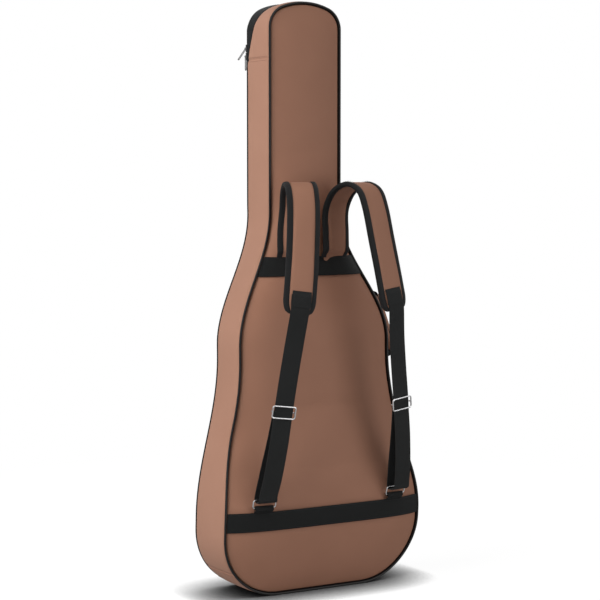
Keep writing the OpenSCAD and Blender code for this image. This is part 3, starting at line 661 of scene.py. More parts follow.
def gussetPiece(place, start, finish):
    stops = [mix(start, finish, t) for t in seamStops((finish - start) * loopLength, gusset["step"])]
    rows = seamStops(gusset["depth"], gusset["depth"] / gusset["rows"])
    piece = lay(place + "Gusset", rows, stops, lambda v, share: gussetPoint(v, share % 1, (start % 1, finish % 1)))
    for paint in (gussetCloth, greyPlush):
        piece.data.materials.append(paint)
    thicken(piece, gusset["thickness"], material_offset=1)
    hand(piece, "bag", "gusset", gussetCloth, place + "_gusset", fill=0.8)


seamShare, baseShare = shareAt(bag["seamZ"]), shareAt(bag["baseSeamZ"])
gussetPiece("right", baseShare, seamShare)
gussetPiece("head", seamShare, 1 - seamShare)
gussetPiece("left", 1 - seamShare, 1 - baseShare)
gussetPiece("base", 1 - baseShare, 1 + baseShare)
print("Gussets made")

# Piping: a tape round a cord, with its sewn tail between the back cover and the gussets
piping = {"columns": 720, "sides": 14, "radius": 0.0020, "tail": 0.006, "tailWidth": 0.0012, "lean": 52, "open": 20}


def pipingSection():
    radius, lean = piping["radius"], radians(piping["lean"])
    start = lean + radians(piping["open"])
    cord = arc(0, 0, radius, shares(piping["sides"], start, start + radians(360 - 2 * piping["open"])))
    reach, half = radius + piping["tail"], piping["tailWidth"] / 2
    return cord + [(reach * cos(lean) - k * sin(lean), reach * sin(lean) + k * cos(lean))
                   for k in (-half, half)]


section = pipingSection()
sides = len(section)


def pipingPoint(a, share):
    inward, y = section[round(a * sides) % sides]
    return offSeam(share % 1, backY, inward + piping["radius"], y - gap - piping["radius"])


cord = lay("backPiping", shares(sides), shares(piping["columns"]), pipingPoint, (0.022, loopLength), closed=True)
edit(cord, bpy.ops.mesh.normals_make_consistent, inside=False)
hand(smooth(cord, 60), "bag", "piping", blackPiping, "back_piping")


# Bands of webbing across the back, their ends sewn under the piping
def onBand(z, share, tuck, lift):
    x = mix(-1, 1, share) * (halfWidth(z) - tuck)
    return Vector((x, panelY(x, z) - gap - bands["thickness"] + lift, z))


def bandPiece(place, middle):
    def point(a, share):
        lift = 0.0009 * ramp(abs(a - 0.5), 0.44, 0.5)
        return onBand(middle + (0.5 - a) * bands["width"], share, bands["tuck"], lift)

    size = (bands["width"], 2 * (halfWidth(middle) - bands["tuck"]))
    band = lay(place + "Band", [0, 0.03, 0.08, 0.2, 0.35, 0.5, 0.65, 0.8, 0.92, 0.97, 1], shares(90), point, size)
    hand(thicken(band, bands["thickness"] * 0.85, 0.0004), "bag", "webbing", bandWebbing, place + "_band")


bandPiece("lower", bands["lowZ"])
bandPiece("upper", bands["highZ"])
print("Piping and bands made")


# Main zip: it lies across the front corner and turns onto the top of the head.
# Places on it are measured inwards from the outline and along y from the front seam
def headTurn(z):
    return ramp(z, crownZ, bag["height"])


def onChain(z, across):
    turn = headTurn(z)
    tilt = radians(mix(zipLook["tilt"], 90, turn))
    y = mix(zipLook["drop"], zipLook["width"] / 2, turn)
    return zipLook["in"] * (1 - turn) + cos(tilt) * across, sin(tilt) * across - y


def lidIn(z):
    return max(zipLook["lidIn"] * cos(pi / 2 * headTurn(z)), zipLook["tape"] + gap)


def onZip(share, z, across):
    return offSeam(share, frontY, *onChain(z, across))


teethFrom = zipLook["split"] + zipLook["teeth"] + gap
zipStart = shareAt(bag["cornerRadius"] * (1 - cos(radians(zipLook["arc"]))))
laneLow, laneHigh = 1 - shareAt(crownZ), 1 - shareAt(zipLook["laneLow"])
zipColumns = shares(zipLook["columns"], zipStart, 1 - zipStart)


def bodyTapePoint(t, share):
    z = rimZ(share)
    side = -recess(z)
    corners = [(0.002, side - 0.003), (0.0004, side + 0.0002),
               onChain(z, -zipLook["plateReach"]), onChain(z, -teethFrom)]
    k = min(2, int(3 * t))
    return offSeam(share, frontY, *[mix(a, b, 3 * t - k) for a, b in zip(corners[k], corners[k + 1])])


def lidTapePoint(t, share):
    z = rimZ(share)
    inward, y = onChain(z, zipLook["laneClear"] if laneLow <= share <= laneHigh else teethFrom)
    return offSeam(share, frontY, mix(inward, lidIn(z), t), mix(y, 0, t) + 0.0004 * sin(pi * t))


def tapePiece(place, body, stops, point, width):
    tape = lay(place + "ZipTape", stops, zipColumns, point, (width, loopLength))
    hand(thicken(tape, zipLook["cloth"], 0.0002), body, "zip_tape", tapeWeave, "zip_tape_" + place)


tapeStops = [0, 0.10, 0.22, 0.30, 0.333, 0.37, 0.45, 0.56, 0.63, 0.667, 0.72, 0.84, 0.94, 1]
tapePiece("body", "bag", tapeStops, bodyTapePoint, 0.028)
tapePiece("lid", "lid", shares(8), lidTapePoint, 0.014)

# Coil teeth: one loop of the coil modelled, then set down along each row
coil = {"pitch": 0.0026, "size": (0.0036, 0.0017, 0.0028), "bevel": 0.00062, "overlap": 0.0003, "sink": 0.0002}
toothMiddle = zipLook["split"] + zipLook["teeth"] / 2 - coil["overlap"]


def coilTooth():
    putDown()
    bpy.ops.mesh.primitive_cube_add(size=1)
    tooth = bpy.context.object
    for vertex in tooth.data.vertices:
        vertex.co = [part * size for part, size in zip(vertex.co, coil["size"])]
    return modify(tooth, "BEVEL", width=coil["bevel"], segments=1, limit_method="NONE")


# Shares at which the teeth of one row stand; those of the other row stand between them
def toothStops(length, side):
    count = round(length / coil["pitch"])
    return [(k + (0.25 if side < 0 else 0.75)) / count for k in range(count)]


def teethPlaces(start, finish, side):
    places = []
    for stop in toothStops((finish - start) * loopLength, side):
        share = mix(start, finish, stop)
        z, across = rimZ(share), side * toothMiddle
        middle = onZip(share, z, across)
        along = (onZip(share + 0.0002, z, across) - middle).normalized()
        out = along.cross((onZip(share, z, across + 0.001) - middle).normalized())
        out = out if out.dot(offSeam(share, frontY, -0.01, 0.01) - middle) > 0 else -out
        places.append((middle - out * coil["sink"], along, out))
    return places


bodyPlaces = teethPlaces(zipStart, 1 - zipStart, -1) + teethPlaces(laneLow, laneHigh, 1)
lidPlaces = teethPlaces(zipStart, laneLow, 1) + teethPlaces(laneHigh, 1 - zipStart, 1)
hand(repeat("bodyZipTeeth", coilTooth(), bodyPlaces), "bag", "teeth", blackCoil, "zip_teeth_body")
hand(repeat("lidZipTeeth", coilTooth(), lidPlaces), "lid", "teeth", blackCoil, "zip_teeth_lid")
print("Main zip made")

# Hinge strip: tape sewn round the base between the zip's ends, from the gusset over the corner to the lid's edge
hingeLook = {"radius": 0.005, "fold": 0.004, "thickness": 0.0012, "columns": 90}


def hingePoint(t, share):
    radius = hingeLook["radius"]
    side, face = recess(rimZ(share)) + hingeLook["fold"], zipLook["lidIn"] - gap
    if t < 0.4:
        inward, y = 0, mix(-side, -radius, t / 0.4)
    elif t < 0.6:
        turn = pi / 2 * (t - 0.4) / 0.2
        inward, y = radius * (1 - cos(turn)), -radius * (1 - sin(turn))
    else:
        inward, y = mix(radius, face, (t - 0.6) / 0.4), 0
    return offSeam(share, frontY, inward, y)


hinge = lay("hingeStrip", [0, 0.1, 0.2, 0.3, 0.4, 0.45, 0.5, 0.55, 0.6, 0.7, 0.8, 0.9, 1],
            shares(hingeLook["columns"], -zipStart, zipStart),
            lambda t, share: hingePoint(t, share % 1), (0.034, 0.3))
hand(thicken(hinge, hingeLook["thickness"], 0.0003), "bag", "binding", blackBinding, "hinge_strip")

# Front cover of the lid; it stays flat behind the pocket
frontCover = {
    "columns": 384, "rows": 26, "swell": 2.0, "cap": 0.003, "pinned": 0.003, "hemOut": 0.0004, "hemIn": 0.0008,
    "lip": 0.0015, "flatX": 0.125, "flatLow": 0.08, "flatHigh": 0.37,
}


def flatFront(p):
    return abs(p.x) < frontCover["flatX"] and frontCover["flatLow"] < p.z < frontCover["flatHigh"]


front = lay("frontCover", shares(frontCover["columns"]), panelRows(frontCover["rows"]),
            lambda share, s: coverPoint(share, s, lidIn, frontY, 1, frontCover, bag["frontCrown"]), closed=True)
turnOver(front)
swellCloth(front, frontCover["swell"], frontCover["cap"], 16,
           lambda p: p.y - frontY(p.z) < frontCover["pinned"] or flatFront(p))
hand(soften(front), "lid", "cover", brownCloth, "front_panel", fill=0.7)

# Linings: a plush sheet over each foam, wrapped round its edge
liningLook = {"wrap": 0.24, "inset": 0.0015, "crown": 0.0016, "thickness": 0.0009, "columns": 256}


def liningPiece(place, body, edge, near, far, facing):
    def point(share, t):
        z = rimZ(share)
        if t < liningLook["wrap"]:
            x, low = inset(share, edge(z))
            return Vector((x, mix(near(low), far(low) - facing * 0.002, t / liningLook["wrap"]), low))
        s = (1 - t) / (1 - liningLook["wrap"])
        x, low = inset(share, edge(z) + liningLook["inset"])
        low = mix(spineZ(z), low, s)
        return Vector((x * s, far(low) + facing * liningLook["crown"] * (1 - s ** 6), low))

    piece = lay(place + "Lining", shares(liningLook["columns"]),
                [0, 0.04, 0.09, 0.16, 0.24, 0.34, 0.46, 0.6, 0.74, 0.88, 1], point, closed=True)
    modify(piece, "SOLIDIFY", thickness=liningLook["thickness"], offset=0)
    hand(soften(piece, 70), body, "lining", greyPlush, place + "_lining", place + "_foam", fill=0.6)


liningPiece("back", "bag", lambda z: bag["wall"] + 0.0006, lambda z: backY(z) + 0.001,
            lambda z: backY(z) + bag["foam"] + bag["lining"] - 0.001, 1)
liningPiece("front", "lid", lambda z: lidIn(z) + zipLook["tape"] + 0.0004, lambda z: frontY(z) + 0.0004,
            lambda z: frontY(z) - bag["lidFoam"] - bag["lining"] + 0.001, -1)
print("Lid and linings made")

# Flat pocket on the lid, with a groove for its zip
pocket = {
    "width": 0.236, "height": 0.260, "low": 0.096, "thickness": 0.008, "corner": 0.024, "margin": 0.018,
    "zipDrop": 0.034, "groove": 0.016, "grooveDepth": 0.004, "soft": 0.0015, "roll": 0.007, "cloth": 0.0012,
    "swell": 1.2, "cap": 0.0012, "pinned": 0.0065, "pinnedZip": 0.013, "tapeWidth": 0.0105,
}
pocketMiddle = pocket["low"] + pocket["height"] / 2
pocketZipZ = pocket["low"] + pocket["height"] - pocket["zipDrop"]
pocketZipLength = pocket["width"] - 2 * pocket["margin"]
pocketHalf = (pocket["width"] / 2, pocket["height"] / 2, pocket["corner"])
halfZip = zipLook["width"] / 2


def pocketBack(z):
    return frontY(z) + bag["frontCrown"] + gap


def pocketY(z, inward):
    k = 1 - ramp(inward, 0, pocket["roll"])
    return pocketBack(z) + pocket["thickness"] * sqrt(max(0, 1 - k * k))


pocketFace = max(pocketBack(pocketZipZ - halfZip), pocketBack(pocketZipZ + halfZip)) + pocket["thickness"]


# Corners of the square grid are drawn round, so the pocket has no pole
def roundSquare(a, b, halfWide, halfHigh, corner):
    x, z = mix(-halfWide, halfWide, a), mix(-halfHigh, halfHigh, b)
    u, v = (abs(x) - halfWide) / corner + 1, (abs(z) - halfHigh) / corner + 1
    if u > 0 and v > 0:
        u, v = u * sqrt(1 - v * v / 2), v * sqrt(1 - u * u / 2)
        x = copysign(halfWide - corner + corner * u, x)
        z = copysign(halfHigh - corner + corner * v, z)
    return x, z


def fromEdge(x, z, halfWide, halfHigh, corner):
    overX, overZ = abs(x) - (halfWide - corner), abs(z) - (halfHigh - corner)
    outside = hypot(max(overX, 0), max(overZ, 0))
    return corner - outside - min(max(overX, overZ), 0)


def pocketPoint(b, a):
    x, z = roundSquare(a, b, *pocketHalf)
    y = pocketY(z + pocketMiddle, fromEdge(x, z, *pocketHalf))
    z += pocketMiddle
    soft = pocket["soft"]
    inZip = (ramp(pocket["groove"] / 2 + soft - abs(z - pocketZipZ), 0, soft)
             * ramp(pocketZipLength / 2 + soft - abs(x), 0, soft))
    return Vector((x, mix(y, min(y, pocketFace - pocket["grooveDepth"]), inZip), z))


# Stops over the pocket's face, closer together at its rim and along the groove of its zip
def pocketStops(count, middle, size, offsets):
    rims = [0.004, 0.009, 0.991, 0.996]
    groove = [middle + side * offset / size for offset in offsets for side in (-1, 1)]
    return sorted({round(stop, 5) for stop in shares(count) + rims + groove})


pouchRows = pocketStops(64, 1 - pocket["zipDrop"] / pocket["height"], pocket["height"],
                        (0.0065, 0.008, 0.0095, 0.0105))
pouchColumns = pocketStops(60, 0.5, pocket["width"], (0.0975, 0.0985, 0.1, 0.1015, 0.1025))
pouch = lay("pocketPanel", pouchRows, pouchColumns, pocketPoint)
swellCloth(pouch, pocket["swell"], pocket["cap"], 8,
           lambda p: p.y - pocketBack(p.z) < pocket["pinned"] or abs(p.z - pocketZipZ) < pocket["pinnedZip"])
hand(thicken(pouch, pocket["cloth"]), "lid", "cover", brownCloth, "pocket_panel", fill=0.4)


def pocketTape(low, high):
    tape = lay("tape", shares(6), shares(60), lambda a, b: Vector((
        (b - 0.5) * pocketZipLength, pocketFace + 0.0012 + 0.0002 * sin(pi * a), pocketZipZ + mix(low, high, a))),
        (pocket["tapeWidth"], pocketZipLength))
    return thicken(tape, zipLook["cloth"], 0.0002)


def pocketTooth(side, stop):
    x, z = mix(-0.5, 0.5, stop) * pocketZipLength, pocketZipZ + side * toothMiddle
    return Vector((x, pocketFace + zipLook["tape"] / 2, z)), Vector((1, 0, 0)), Vector((0, 1, 0))


hand(join("pocketZipTape", [pocketTape(teethFrom, halfZip), pocketTape(-halfZip, -teethFrom)]),
     "lid", "zip_tape", tapeWeave, "pocket_zip_tape")
places = [pocketTooth(side, stop) for side in (-1, 1) for stop in toothStops(pocketZipLength, side)]
hand(repeat("pocketZipTeeth", coilTooth(), places), "lid", "teeth", blackCoil, "pocket_teeth")
print("Pocket made")


# Shoulder straps: the right-hand one is made and mirrored. A curve through points, as a smooth list of points
def spline(points, steps=8):
    line = []
    for i, b in enumerate(points[:-1]):
        a, c, d = points[max(0, i - 1)], points[i + 1], points[min(len(points) - 1, i + 2)]
        for t in shares(steps)[:-1]:
            line.append((2 * b + (c - a) * t + (2 * a - 5 * b + 4 * c - d) * t * t
                         + (3 * b - a - 3 * c + d) * t ** 3) / 2)
    return line + [points[-1]]


# A line with its length, to be asked for a place at any share of it
class Run:
    def __init__(self, points):
        self.points = points
        self.lengths = [0.0]
        for a, b in zip(points, points[1:]):
            self.lengths.append(self.lengths[-1] + (b - a).length)
        self.length = self.lengths[-1]

    def at(self, share):
        run = max(0.0, min(1.0, share)) * self.length
        k = max(0, min(bisect.bisect_left(self.lengths, run), len(self.lengths) - 1) - 1)
        t = (run - self.lengths[k]) / max(1e-9, self.lengths[k + 1] - self.lengths[k])
        return mix(self.points[k], self.points[k + 1], t)

    # The place, its direction, and the ways sideways and outwards from it
    def frame(self, share, soft=0.004):
        step = soft / self.length
        direction = (self.at(share + step) - self.at(share - step)).normalized()
        point = self.at(share)
        sideways = turned((1, 0, 0), strapAngle(point.z))
        sideways = (sideways - direction * sideways.dot(direction)).normalized()
        return point, direction, sideways, direction.cross(sideways)

    def off(self, share, aside, lift, soft=0.004):
        point, _, sideways, out = self.frame(share, soft)
        return point + sideways * aside + out * lift


strap = {
    "x": 0.045, "ringX": 0.138, "padWidth": 0.061, "padThickness": 0.010, "binding": 0.010, "webWidth": 0.035,
    "web": 0.002, "wire": 0.0028, "turn": 10, "ringTurn": 7, "ringUp": 0.009, "ringLength": 0.015, "ringLean": 15,
    "tuck": 0.010, "rest": 0.040, "run": 0.055, "reach": 0.113, "rise": 0.139, "lift": 0.008, "bulge": 0.014,
    "bow": 0.003, "glideZ": 0.343, "endRound": 0.026, "endWidth": 0.60, "glideHalf": 0.010, "runGap": 0.0028,
    "glideRun": (-8, -6, 72), "onPad": 0.0058, "edge": 0.0004,
    "loop": [(-0.0165, 0.009), (-0.016, 0.0014), (-0.0125, -0.0026), (-0.007, -0.0038), (-0.0007, -0.0037),
             (0.0037, -0.0008), (0.0047, 0.006)],
    "shape": [(-0.04, 0.03, 0.60), (0.08, 0.17, 0.84), (0.28, 0.42, 0.94), (0.45, 0.65, 0.86), (0.54, 0.77, 0.64),
              (0.66, 0.86, 0.24), (0.82, 0.94, -0.21), (1, 1, -0.68)],
}
bandTop = bands["lowZ"] + bands["width"] / 2
ringBarZ = bandTop + strap["ringUp"]
padFootZ = bands["highZ"] + bands["width"] / 2 + gap
webStops = [0, 0.03, 0.09, 0.25, 0.5, 0.75, 0.91, 0.97, 1]


def turned(vector, degrees):
    return Matrix.Rotation(radians(degrees), 3, "Z") @ Vector(vector)


def strapAngle(z):
    return mix(strap["ringTurn"], strap["turn"], ramp(z, ringBarZ, padFootZ))


def onBack(x, z, off):
    return Vector((x, panelY(x, z) - gap - off, z))


def arched(a, b, t, out):
    return mix(a, b, t) - Vector((0, out, 0))


padLow = onBack(strap["x"], padFootZ - strap["tuck"], strap["padThickness"] / 2 + gap)
padHigh = onBack(strap["x"], padFootZ + strap["rest"], strap["padThickness"] / 2 + strap["lift"])
padRun = Run(spline([padLow, padHigh] + [
    Vector((strap["x"] + strap["run"] * x, padHigh.y - strap["reach"] * y, padFootZ + strap["rise"] * z))
    for x, y, z in strap["shape"]]))

# The ring leans back; the webbing leaves the pad, passes the tri-glide and makes a slack loop round the ring
ringBar = onBack(strap["ringX"], ringBarZ, strap["wire"] / 2 + 2 * strap["web"] + 2 * gap)
lean = radians(strap["ringLean"])
ringHead = ringBar + strap["ringLength"] * turned((0, -sin(lean), cos(lean)), strap["ringTurn"])
padEnd = padRun.points[-1] + 3 * gap * padRun.frame(1)[1]
glideMiddle = mix(padEnd, ringHead, (padEnd.z - strap["glideZ"]) / (padEnd.z - ringHead.z))
glideMiddle += Vector((strap["bow"], -strap["bulge"], 0))
glideReach = strap["glideHalf"] * Vector(strap["glideRun"]).normalized()
glideIn, glideOut = glideMiddle + glideReach, glideMiddle - glideReach
under = Vector((0, strap["runGap"], 0))
loop = [ringHead + turned((0, y, z), strap["ringTurn"]) for y, z in strap["loop"]]


def onPad(left, aside=0, lift=strap["onPad"]):
    return padRun.off(1 - left / padRun.length, aside, lift)


webRun = Run(spline(
    [onPad(0.034), onPad(0.018), onPad(0.003),
     arched(padEnd, glideIn, 0.3, 0.0015), mix(padEnd, glideIn, 0.65), glideIn, glideOut,
     arched(glideOut, loop[0], 0.35, 0.004), arched(glideOut, loop[0], 0.75, 0.004)] + loop
    + [arched(loop[-1], glideOut, 0.3, -0.002), arched(loop[-1], glideOut, 0.7, -0.003),
       glideOut + 2 * under, glideMiddle + 1.6 * under]))

# Pad: two layers of cloth over foam, swelling between their bound edges, and pressed flat where it goes
# under the upper band
padLook = {
    "columns": 14, "rows": 96, "full": 0.0038, "edge": 0.0030, "pressure": 3.0, "cap": 0.002, "inBinding": 0.55,
    "flatTo": 0.009, "fullFrom": 0.021, "flat": 0.14, "sink": 0.0064, "bound": 0.46, "endFall": 0.006,
}


# Width of the pad at a share of its length: round at its free end
def padTaper(share):
    left, reach = (1 - share) * padRun.length, strap["endRound"]
    return 1 if left > reach else mix(strap["endWidth"], 1, sqrt(max(0, 1 - (1 - left / reach) ** 2)))


# Places on the pad; towards its foot they keep only a share of their lift, and sink under the band
def onPress(share, aside, lift, kept):
    press = 1 - ease(ramp(share * padRun.length, padLook["flatTo"], padLook["fullFrom"]))
    return padRun.off(share, aside, lift * mix(1, kept, press) + press * padLook["sink"])


def onFoot(p):
    return abs(p.z - padFootZ + 0.005) < 0.011 and abs(p.y - padLow.y) < 0.012


def power(value, exponent):
    return copysign(abs(value) ** exponent, value)


def padPoint(a, share):
    side, rise = cos(2 * pi * a), sin(2 * pi * a)
    half = (strap["padWidth"] / 2 - strap["binding"] * padLook["inBinding"]) * padTaper(share)
    full = mix(padLook["full"], padLook["edge"], abs(side) ** 3)
    end = min(1, min(share, 1 - share) * padRun.length / padLook["endFall"])
    return onPress(share, power(side, 0.62) * half, power(rise, 0.5) * full * mix(0.55, 1, end), padLook["flat"])


pad = tube("rightStrapPad", 2 * padLook["columns"], shares(padLook["rows"]), padPoint, (0.14, padRun.length))
swellCloth(pad, padLook["pressure"], padLook["cap"], 10, onFoot)
handPair(soften(pad), "strap_pad", "cover", brownCloth, fill=0.7)
print("Strap pads made")

# Binding: tape folded over the pad's edges, from its edge on the inner face, round, to its edge on the outer face
bindingLook = {
    "rows": 110, "thickness": 0.0011, "height": 0.0043, "lift": 0.0006, "start": 0.0175,
    "fold": 0.32, "round": 0.0036,
    "stops": [0, 0.05, 0.11, 0.19, 0.27, 0.32, 0.38, 0.44, 0.5, 0.56, 0.62, 0.68, 0.73, 0.81, 0.89, 0.95, 1],
}


def bindingPoint(side, a, share):
    taper, fold, bend = padTaper(share), bindingLook["fold"], bindingLook["round"]
    half, height = strap["padWidth"] / 2 * taper, bindingLook["height"]
    t = min(a, 1 - a) / fold
    if t < 1:
        across = half - mix(strap["binding"] * taper, bend, t)
        lift = (height + bindingLook["lift"] * sin(pi * t)) * mix(0.94, 1, t) * (-1 if a < 0.5 else 1)
    else:
        turn = pi * (a - fold) / (1 - 2 * fold) - pi / 2
        across, lift = half - bend + bend * cos(turn), height * sin(turn)
    return onPress(share, across * side, lift, padLook["bound"])


def bindingPiece(side):
    piece = lay("binding", bindingLook["stops"], shares(bindingLook["rows"]),
                lambda a, t: bindingPoint(side, a, mix(bindingLook["start"], 1, t)), (0.028, padRun.length))
    return thicken(turnOver(piece) if side > 0 else piece, bindingLook["thickness"], offset=1)


handPair(join("rightStrapBinding", [bindingPiece(-1), bindingPiece(1)]), "strap_binding", "binding", blackBinding)


# A flat strip of webbing, with its wall on both sides of the sheet
def webbing(name, along, point, size, share=0.9, edge=strap["edge"], stops=webStops):
    return thicken(lay(name, stops, along, point, size), strap["web"] * share, edge, offset=0)


# Webbing: from the pad through the tri-glide, round the ring and back up
def webPoint(a, share):
    return webRun.off(share, (a - 0.5) * strap["webWidth"], -0.00022 * ramp(abs(a - 0.5), 0.42, 0.5), 0.0025)


web = webbing("rightStrapWebbing", shares(220), webPoint, (strap["webWidth"], webRun.length))
handPair(web, "strap_webbing", "webbing", blackWebbing)

# Patch sewn over the pad's free end, with the webbing under it
patchLook = {
    "from": 0.040, "to": 0.011, "width": 0.0355, "aside": -0.0015, "low": 0.0064, "high": 0.0079, "bend": 0.0008,
}


def patchPoint(a, b):
    left, aside = mix(patchLook["from"], patchLook["to"], b), (a - 0.5) * patchLook["width"] + patchLook["aside"]
    lift = mix(patchLook["low"], patchLook["high"], ramp(b, 0.12, 0.24)) - patchLook["bend"] * abs(2 * a - 1) ** 4
    return onPad(left, aside, lift)


patchSize = patchLook["width"], patchLook["from"] - patchLook["to"]
patch = webbing("rightStrapPatch", shares(20), patchPoint, patchSize, 0.8)
handPair(patch, "strap_patch", "binding", blackWebbing)

# Tab of webbing that holds the ring, folded round its lower bar and sewn under the lower band
tabRadius, tabLead = strap["wire"] / 2 + gap + strap["web"] / 2, 0.004
tabLine = [(-tabRadius, -tabLead)] + [(-y, z) for y, z in arc(0, 0, tabRadius, shares(12, 0, pi))]
tabLine += [(tabRadius, -tabLead)]
tabRun = Run([onBack(strap["ringX"], bandTop + z, 0.0006) for z in (-0.006, -0.001)]
             + [ringBar + turned((0, y, z), strap["ringTurn"]) for y, z in tabLine])


def tabPoint(a, share):
    return tabRun.at(share) + turned(((a - 0.5) * strap["webWidth"], 0, 0), strap["ringTurn"])


handPair(webbing("rightRingTab", shares(60), tabPoint, (strap["webWidth"], tabRun.length)),
         "ring_tab", "webbing", bandWebbing)
print("Straps made")


# Side handle: webbing gathered at its ends, a padded grip round its middle, and a patch under each end
handle = {
    "z": 0.402, "length": 0.138, "rise": 0.028, "kick": 0.024, "web": 0.025, "grip": 0.018, "y": 0.014, "bow": 0.014,
    "bead": 0.004, "beadLength": 0.010, "beadLift": 0.0013, "beadRound": 0.8, "gather": 0.45, "fold": 0.0012,
    "patchWidth": 0.036, "patchHeight": 0.034, "patchLift": 0.0012, "edge": 0.0003,
}


def flankNormal(z):
    return Vector((1, 0, (halfWidth(z - 0.001) - halfWidth(z + 0.001)) / 0.002)).normalized()


def offFlank(z, y, off):
    return Vector((halfWidth(z), y, z)) + flankNormal(z) * off


handleZs = (handle["z"], handle["z"] + handle["length"])
footOff = strap["web"] + gap + handle["beadLift"] + handle["bead"]
handleFoot, handleHead = [offFlank(z, handle["y"], footOff) for z in handleZs]
handleSpan = (handleHead - handleFoot).length
handleUp = (handleHead - handleFoot).normalized()
handleSide = Vector((0, 1, 0))
handleOut = Vector((handleUp.z, 0, -handleUp.x))


def onHandle(out, y, up):
    return handleFoot + handleOut * out + handleSide * y + handleUp * up


def handleEnds(up, reach):
    return min(ramp(up, 0, reach), 1 - ramp(up, handleSpan - reach, handleSpan))


def bow(up):
    return (handle["rise"] + handle["kick"] * (0.5 - up / handleSpan)) * ease(handleEnds(up, handle["bow"]))


def handleWebPoint(a, up):
    width = handle["web"] * mix(handle["gather"], 1, handleEnds(up, handle["bow"] * 0.6))
    fold = handle["fold"] * (1 - handleEnds(up, handle["bow"])) * cos(3 * pi * (a - 0.5))
    slope = (bow(up + 0.0005) - bow(up - 0.0005)) / 0.001
    along = (handleUp + handleOut * slope).normalized()
    return onHandle(bow(up), (0.5 - a) * width, up) + along.cross(handleSide) * fold


def beadPiece(up):
    def point(a, b):
        radius = handle["bead"] * (1 - 1.6 * max(0, abs(b) - handle["beadRound"]))
        turn = 2 * pi * a
        return onHandle(radius * cos(turn), radius * sin(turn), up + handle["beadLength"] / 2 * b)

    return smooth(tube("bead", 20, [-1, -0.94, -0.8, 0.8, 0.94, 1], point, (0.025, 0.005)), 60)


bowStops = shares(14, 0, handle["bow"])
handleStops = bowStops + [handleSpan - up for up in reversed(bowStops)]
handleWeb = webbing("web", handleStops, handleWebPoint, (handle["web"], 1), edge=handle["edge"], stops=shares(10))
hand(join("handleWebbing", [handleWeb, beadPiece(0), beadPiece(handleSpan)]),
     "handle", "webbing", blackWebbing, "handle_webbing")

# Grip: padded cloth sewn together along its inner side
gripLook = {
    "short": 0.004, "fall": 0.007, "end": 0.62, "seam": 0.0012, "seamWidth": 0.10, "swell": 1.2, "cap": 0.0006,
}
gripLength = handleSpan - 2 * handle["bow"] - gripLook["short"]
gripTilt = atan2(handle["kick"], handleSpan)
gripUp = handleUp * cos(gripTilt) - handleOut * sin(gripTilt)
gripOut = handleOut * cos(gripTilt) + handleUp * sin(gripTilt)
gripMiddle = onHandle(handle["rise"], 0, handleSpan / 2)


def gripPoint(a, t):
    end = min(1, min(t, 1 - t) * gripLength / gripLook["fall"])
    full = mix(gripLook["end"], 1, sqrt(max(0, 1 - (1 - end) ** 2)))
    side, rise = cos(2 * pi * a), sin(2 * pi * a)
    wide = power(side, 0.8) * handle["web"] / 2 * mix(full, 1, 0.5)
    thick = power(rise, 0.85) * handle["grip"] / 2 * full
    seam = gripLook["seam"] * dip(side, gripLook["seamWidth"]) if rise < 0 else 0
    return gripMiddle + gripUp * ((t - 0.5) * gripLength) + handleSide * wide + gripOut * (thick + seam)


grip = tube("handleGrip", 48, seamStops(gripLength, 0.004, 0.006), gripPoint)
swellCloth(grip, gripLook["swell"], gripLook["cap"], 6, lambda p: False)
hand(soften(grip), "handle", "gusset", gussetCloth, "handle_grip", fill=0.8)


def handlePatch(middle):
    def point(a, b):
        z, y = middle + (b - 0.5) * handle["patchHeight"], handle["y"] + (0.5 - a) * handle["patchWidth"]
        return offFlank(z, y, handle["patchLift"] + 0.0004 * (1 - abs(2 * a - 1) ** 6))

    return webbing("patch", shares(16), point, (handle["patchWidth"], handle["patchHeight"]), 0.8)


hand(join("handlePatches", [handlePatch(z) for z in handleZs]), "bag", "webbing", blackWebbing, "handle_patches")
print("Side handle made")

# Inside: a notched rest for the neck with a strap over it, and a pad at the bottom
inside = {
    "restZ": 0.805, "restHeight": 0.050, "restDepth": 0.032, "notch": 0.018, "notchRadius": 0.0357,
    "round": 0.004, "strapWidth": 0.038, "strapUp": 0.018, "overlap": 0.028,
    "padWidth": 0.140, "padHeight": 0.028, "padCorner": 0.008,
}


def floorY(z):
    return backY(z) + gap + bag["foam"] + bag["lining"]


# A soft block over an outline, its two end faces rounded off
def roundedBlock(name, stoodFor, outline, slices, place):
    xs, ys = zip(*outline)
    middle = ((min(xs) + max(xs)) / 2, (min(ys) + max(ys)) / 2)

    def point(a, t):
        k = 1 - min(1, min(t, 1 - t) * slices / 2)
        shrink = inside["round"] * (1 - sqrt(1 - k * k))
        ends = outline[round(a * len(outline)) % len(outline)]
        x, y = [part - copysign(min(shrink, abs(part - m)), part - m) for part, m in zip(ends, middle)]
        return place(x, y, t)

    close = [0, 0.5 / slices, 1 / slices, 2 / slices]
    stops = close + shares(6, close[-1], 1 - close[-1])[1:-1] + [1 - stop for stop in reversed(close)]
    hand(soften(tube(name, len(outline), stops, point), 50), "bag", "foam", greyFoam, stoodFor, fill=0.7)


# Straight edges of an outline get points in between, and corners are drawn round
def roundOutline(corners, radius, step=0.006):
    def towards(a, b, reach):
        return [mix(p, q, reach / dist(a, b)) for p, q in zip(a, b)]

    points = []
    for i, corner in enumerate(corners):
        after = corners[(i + 1) % len(corners)]
        start, finish = towards(corner, corners[i - 1], radius), towards(corner, after, radius)
        for t in shares(3):
            points.append(tuple((1 - t) ** 2 * s + 2 * t * (1 - t) * c + t * t * f
                                for s, c, f in zip(start, corner, finish)))
        count = max(1, int((dist(corner, after) - 2 * radius) / step))
        points += [tuple(mix(p, q, t) for p, q in zip(finish, towards(after, corner, radius)))
                   for t in shares(count)[1:-1]]
    return points


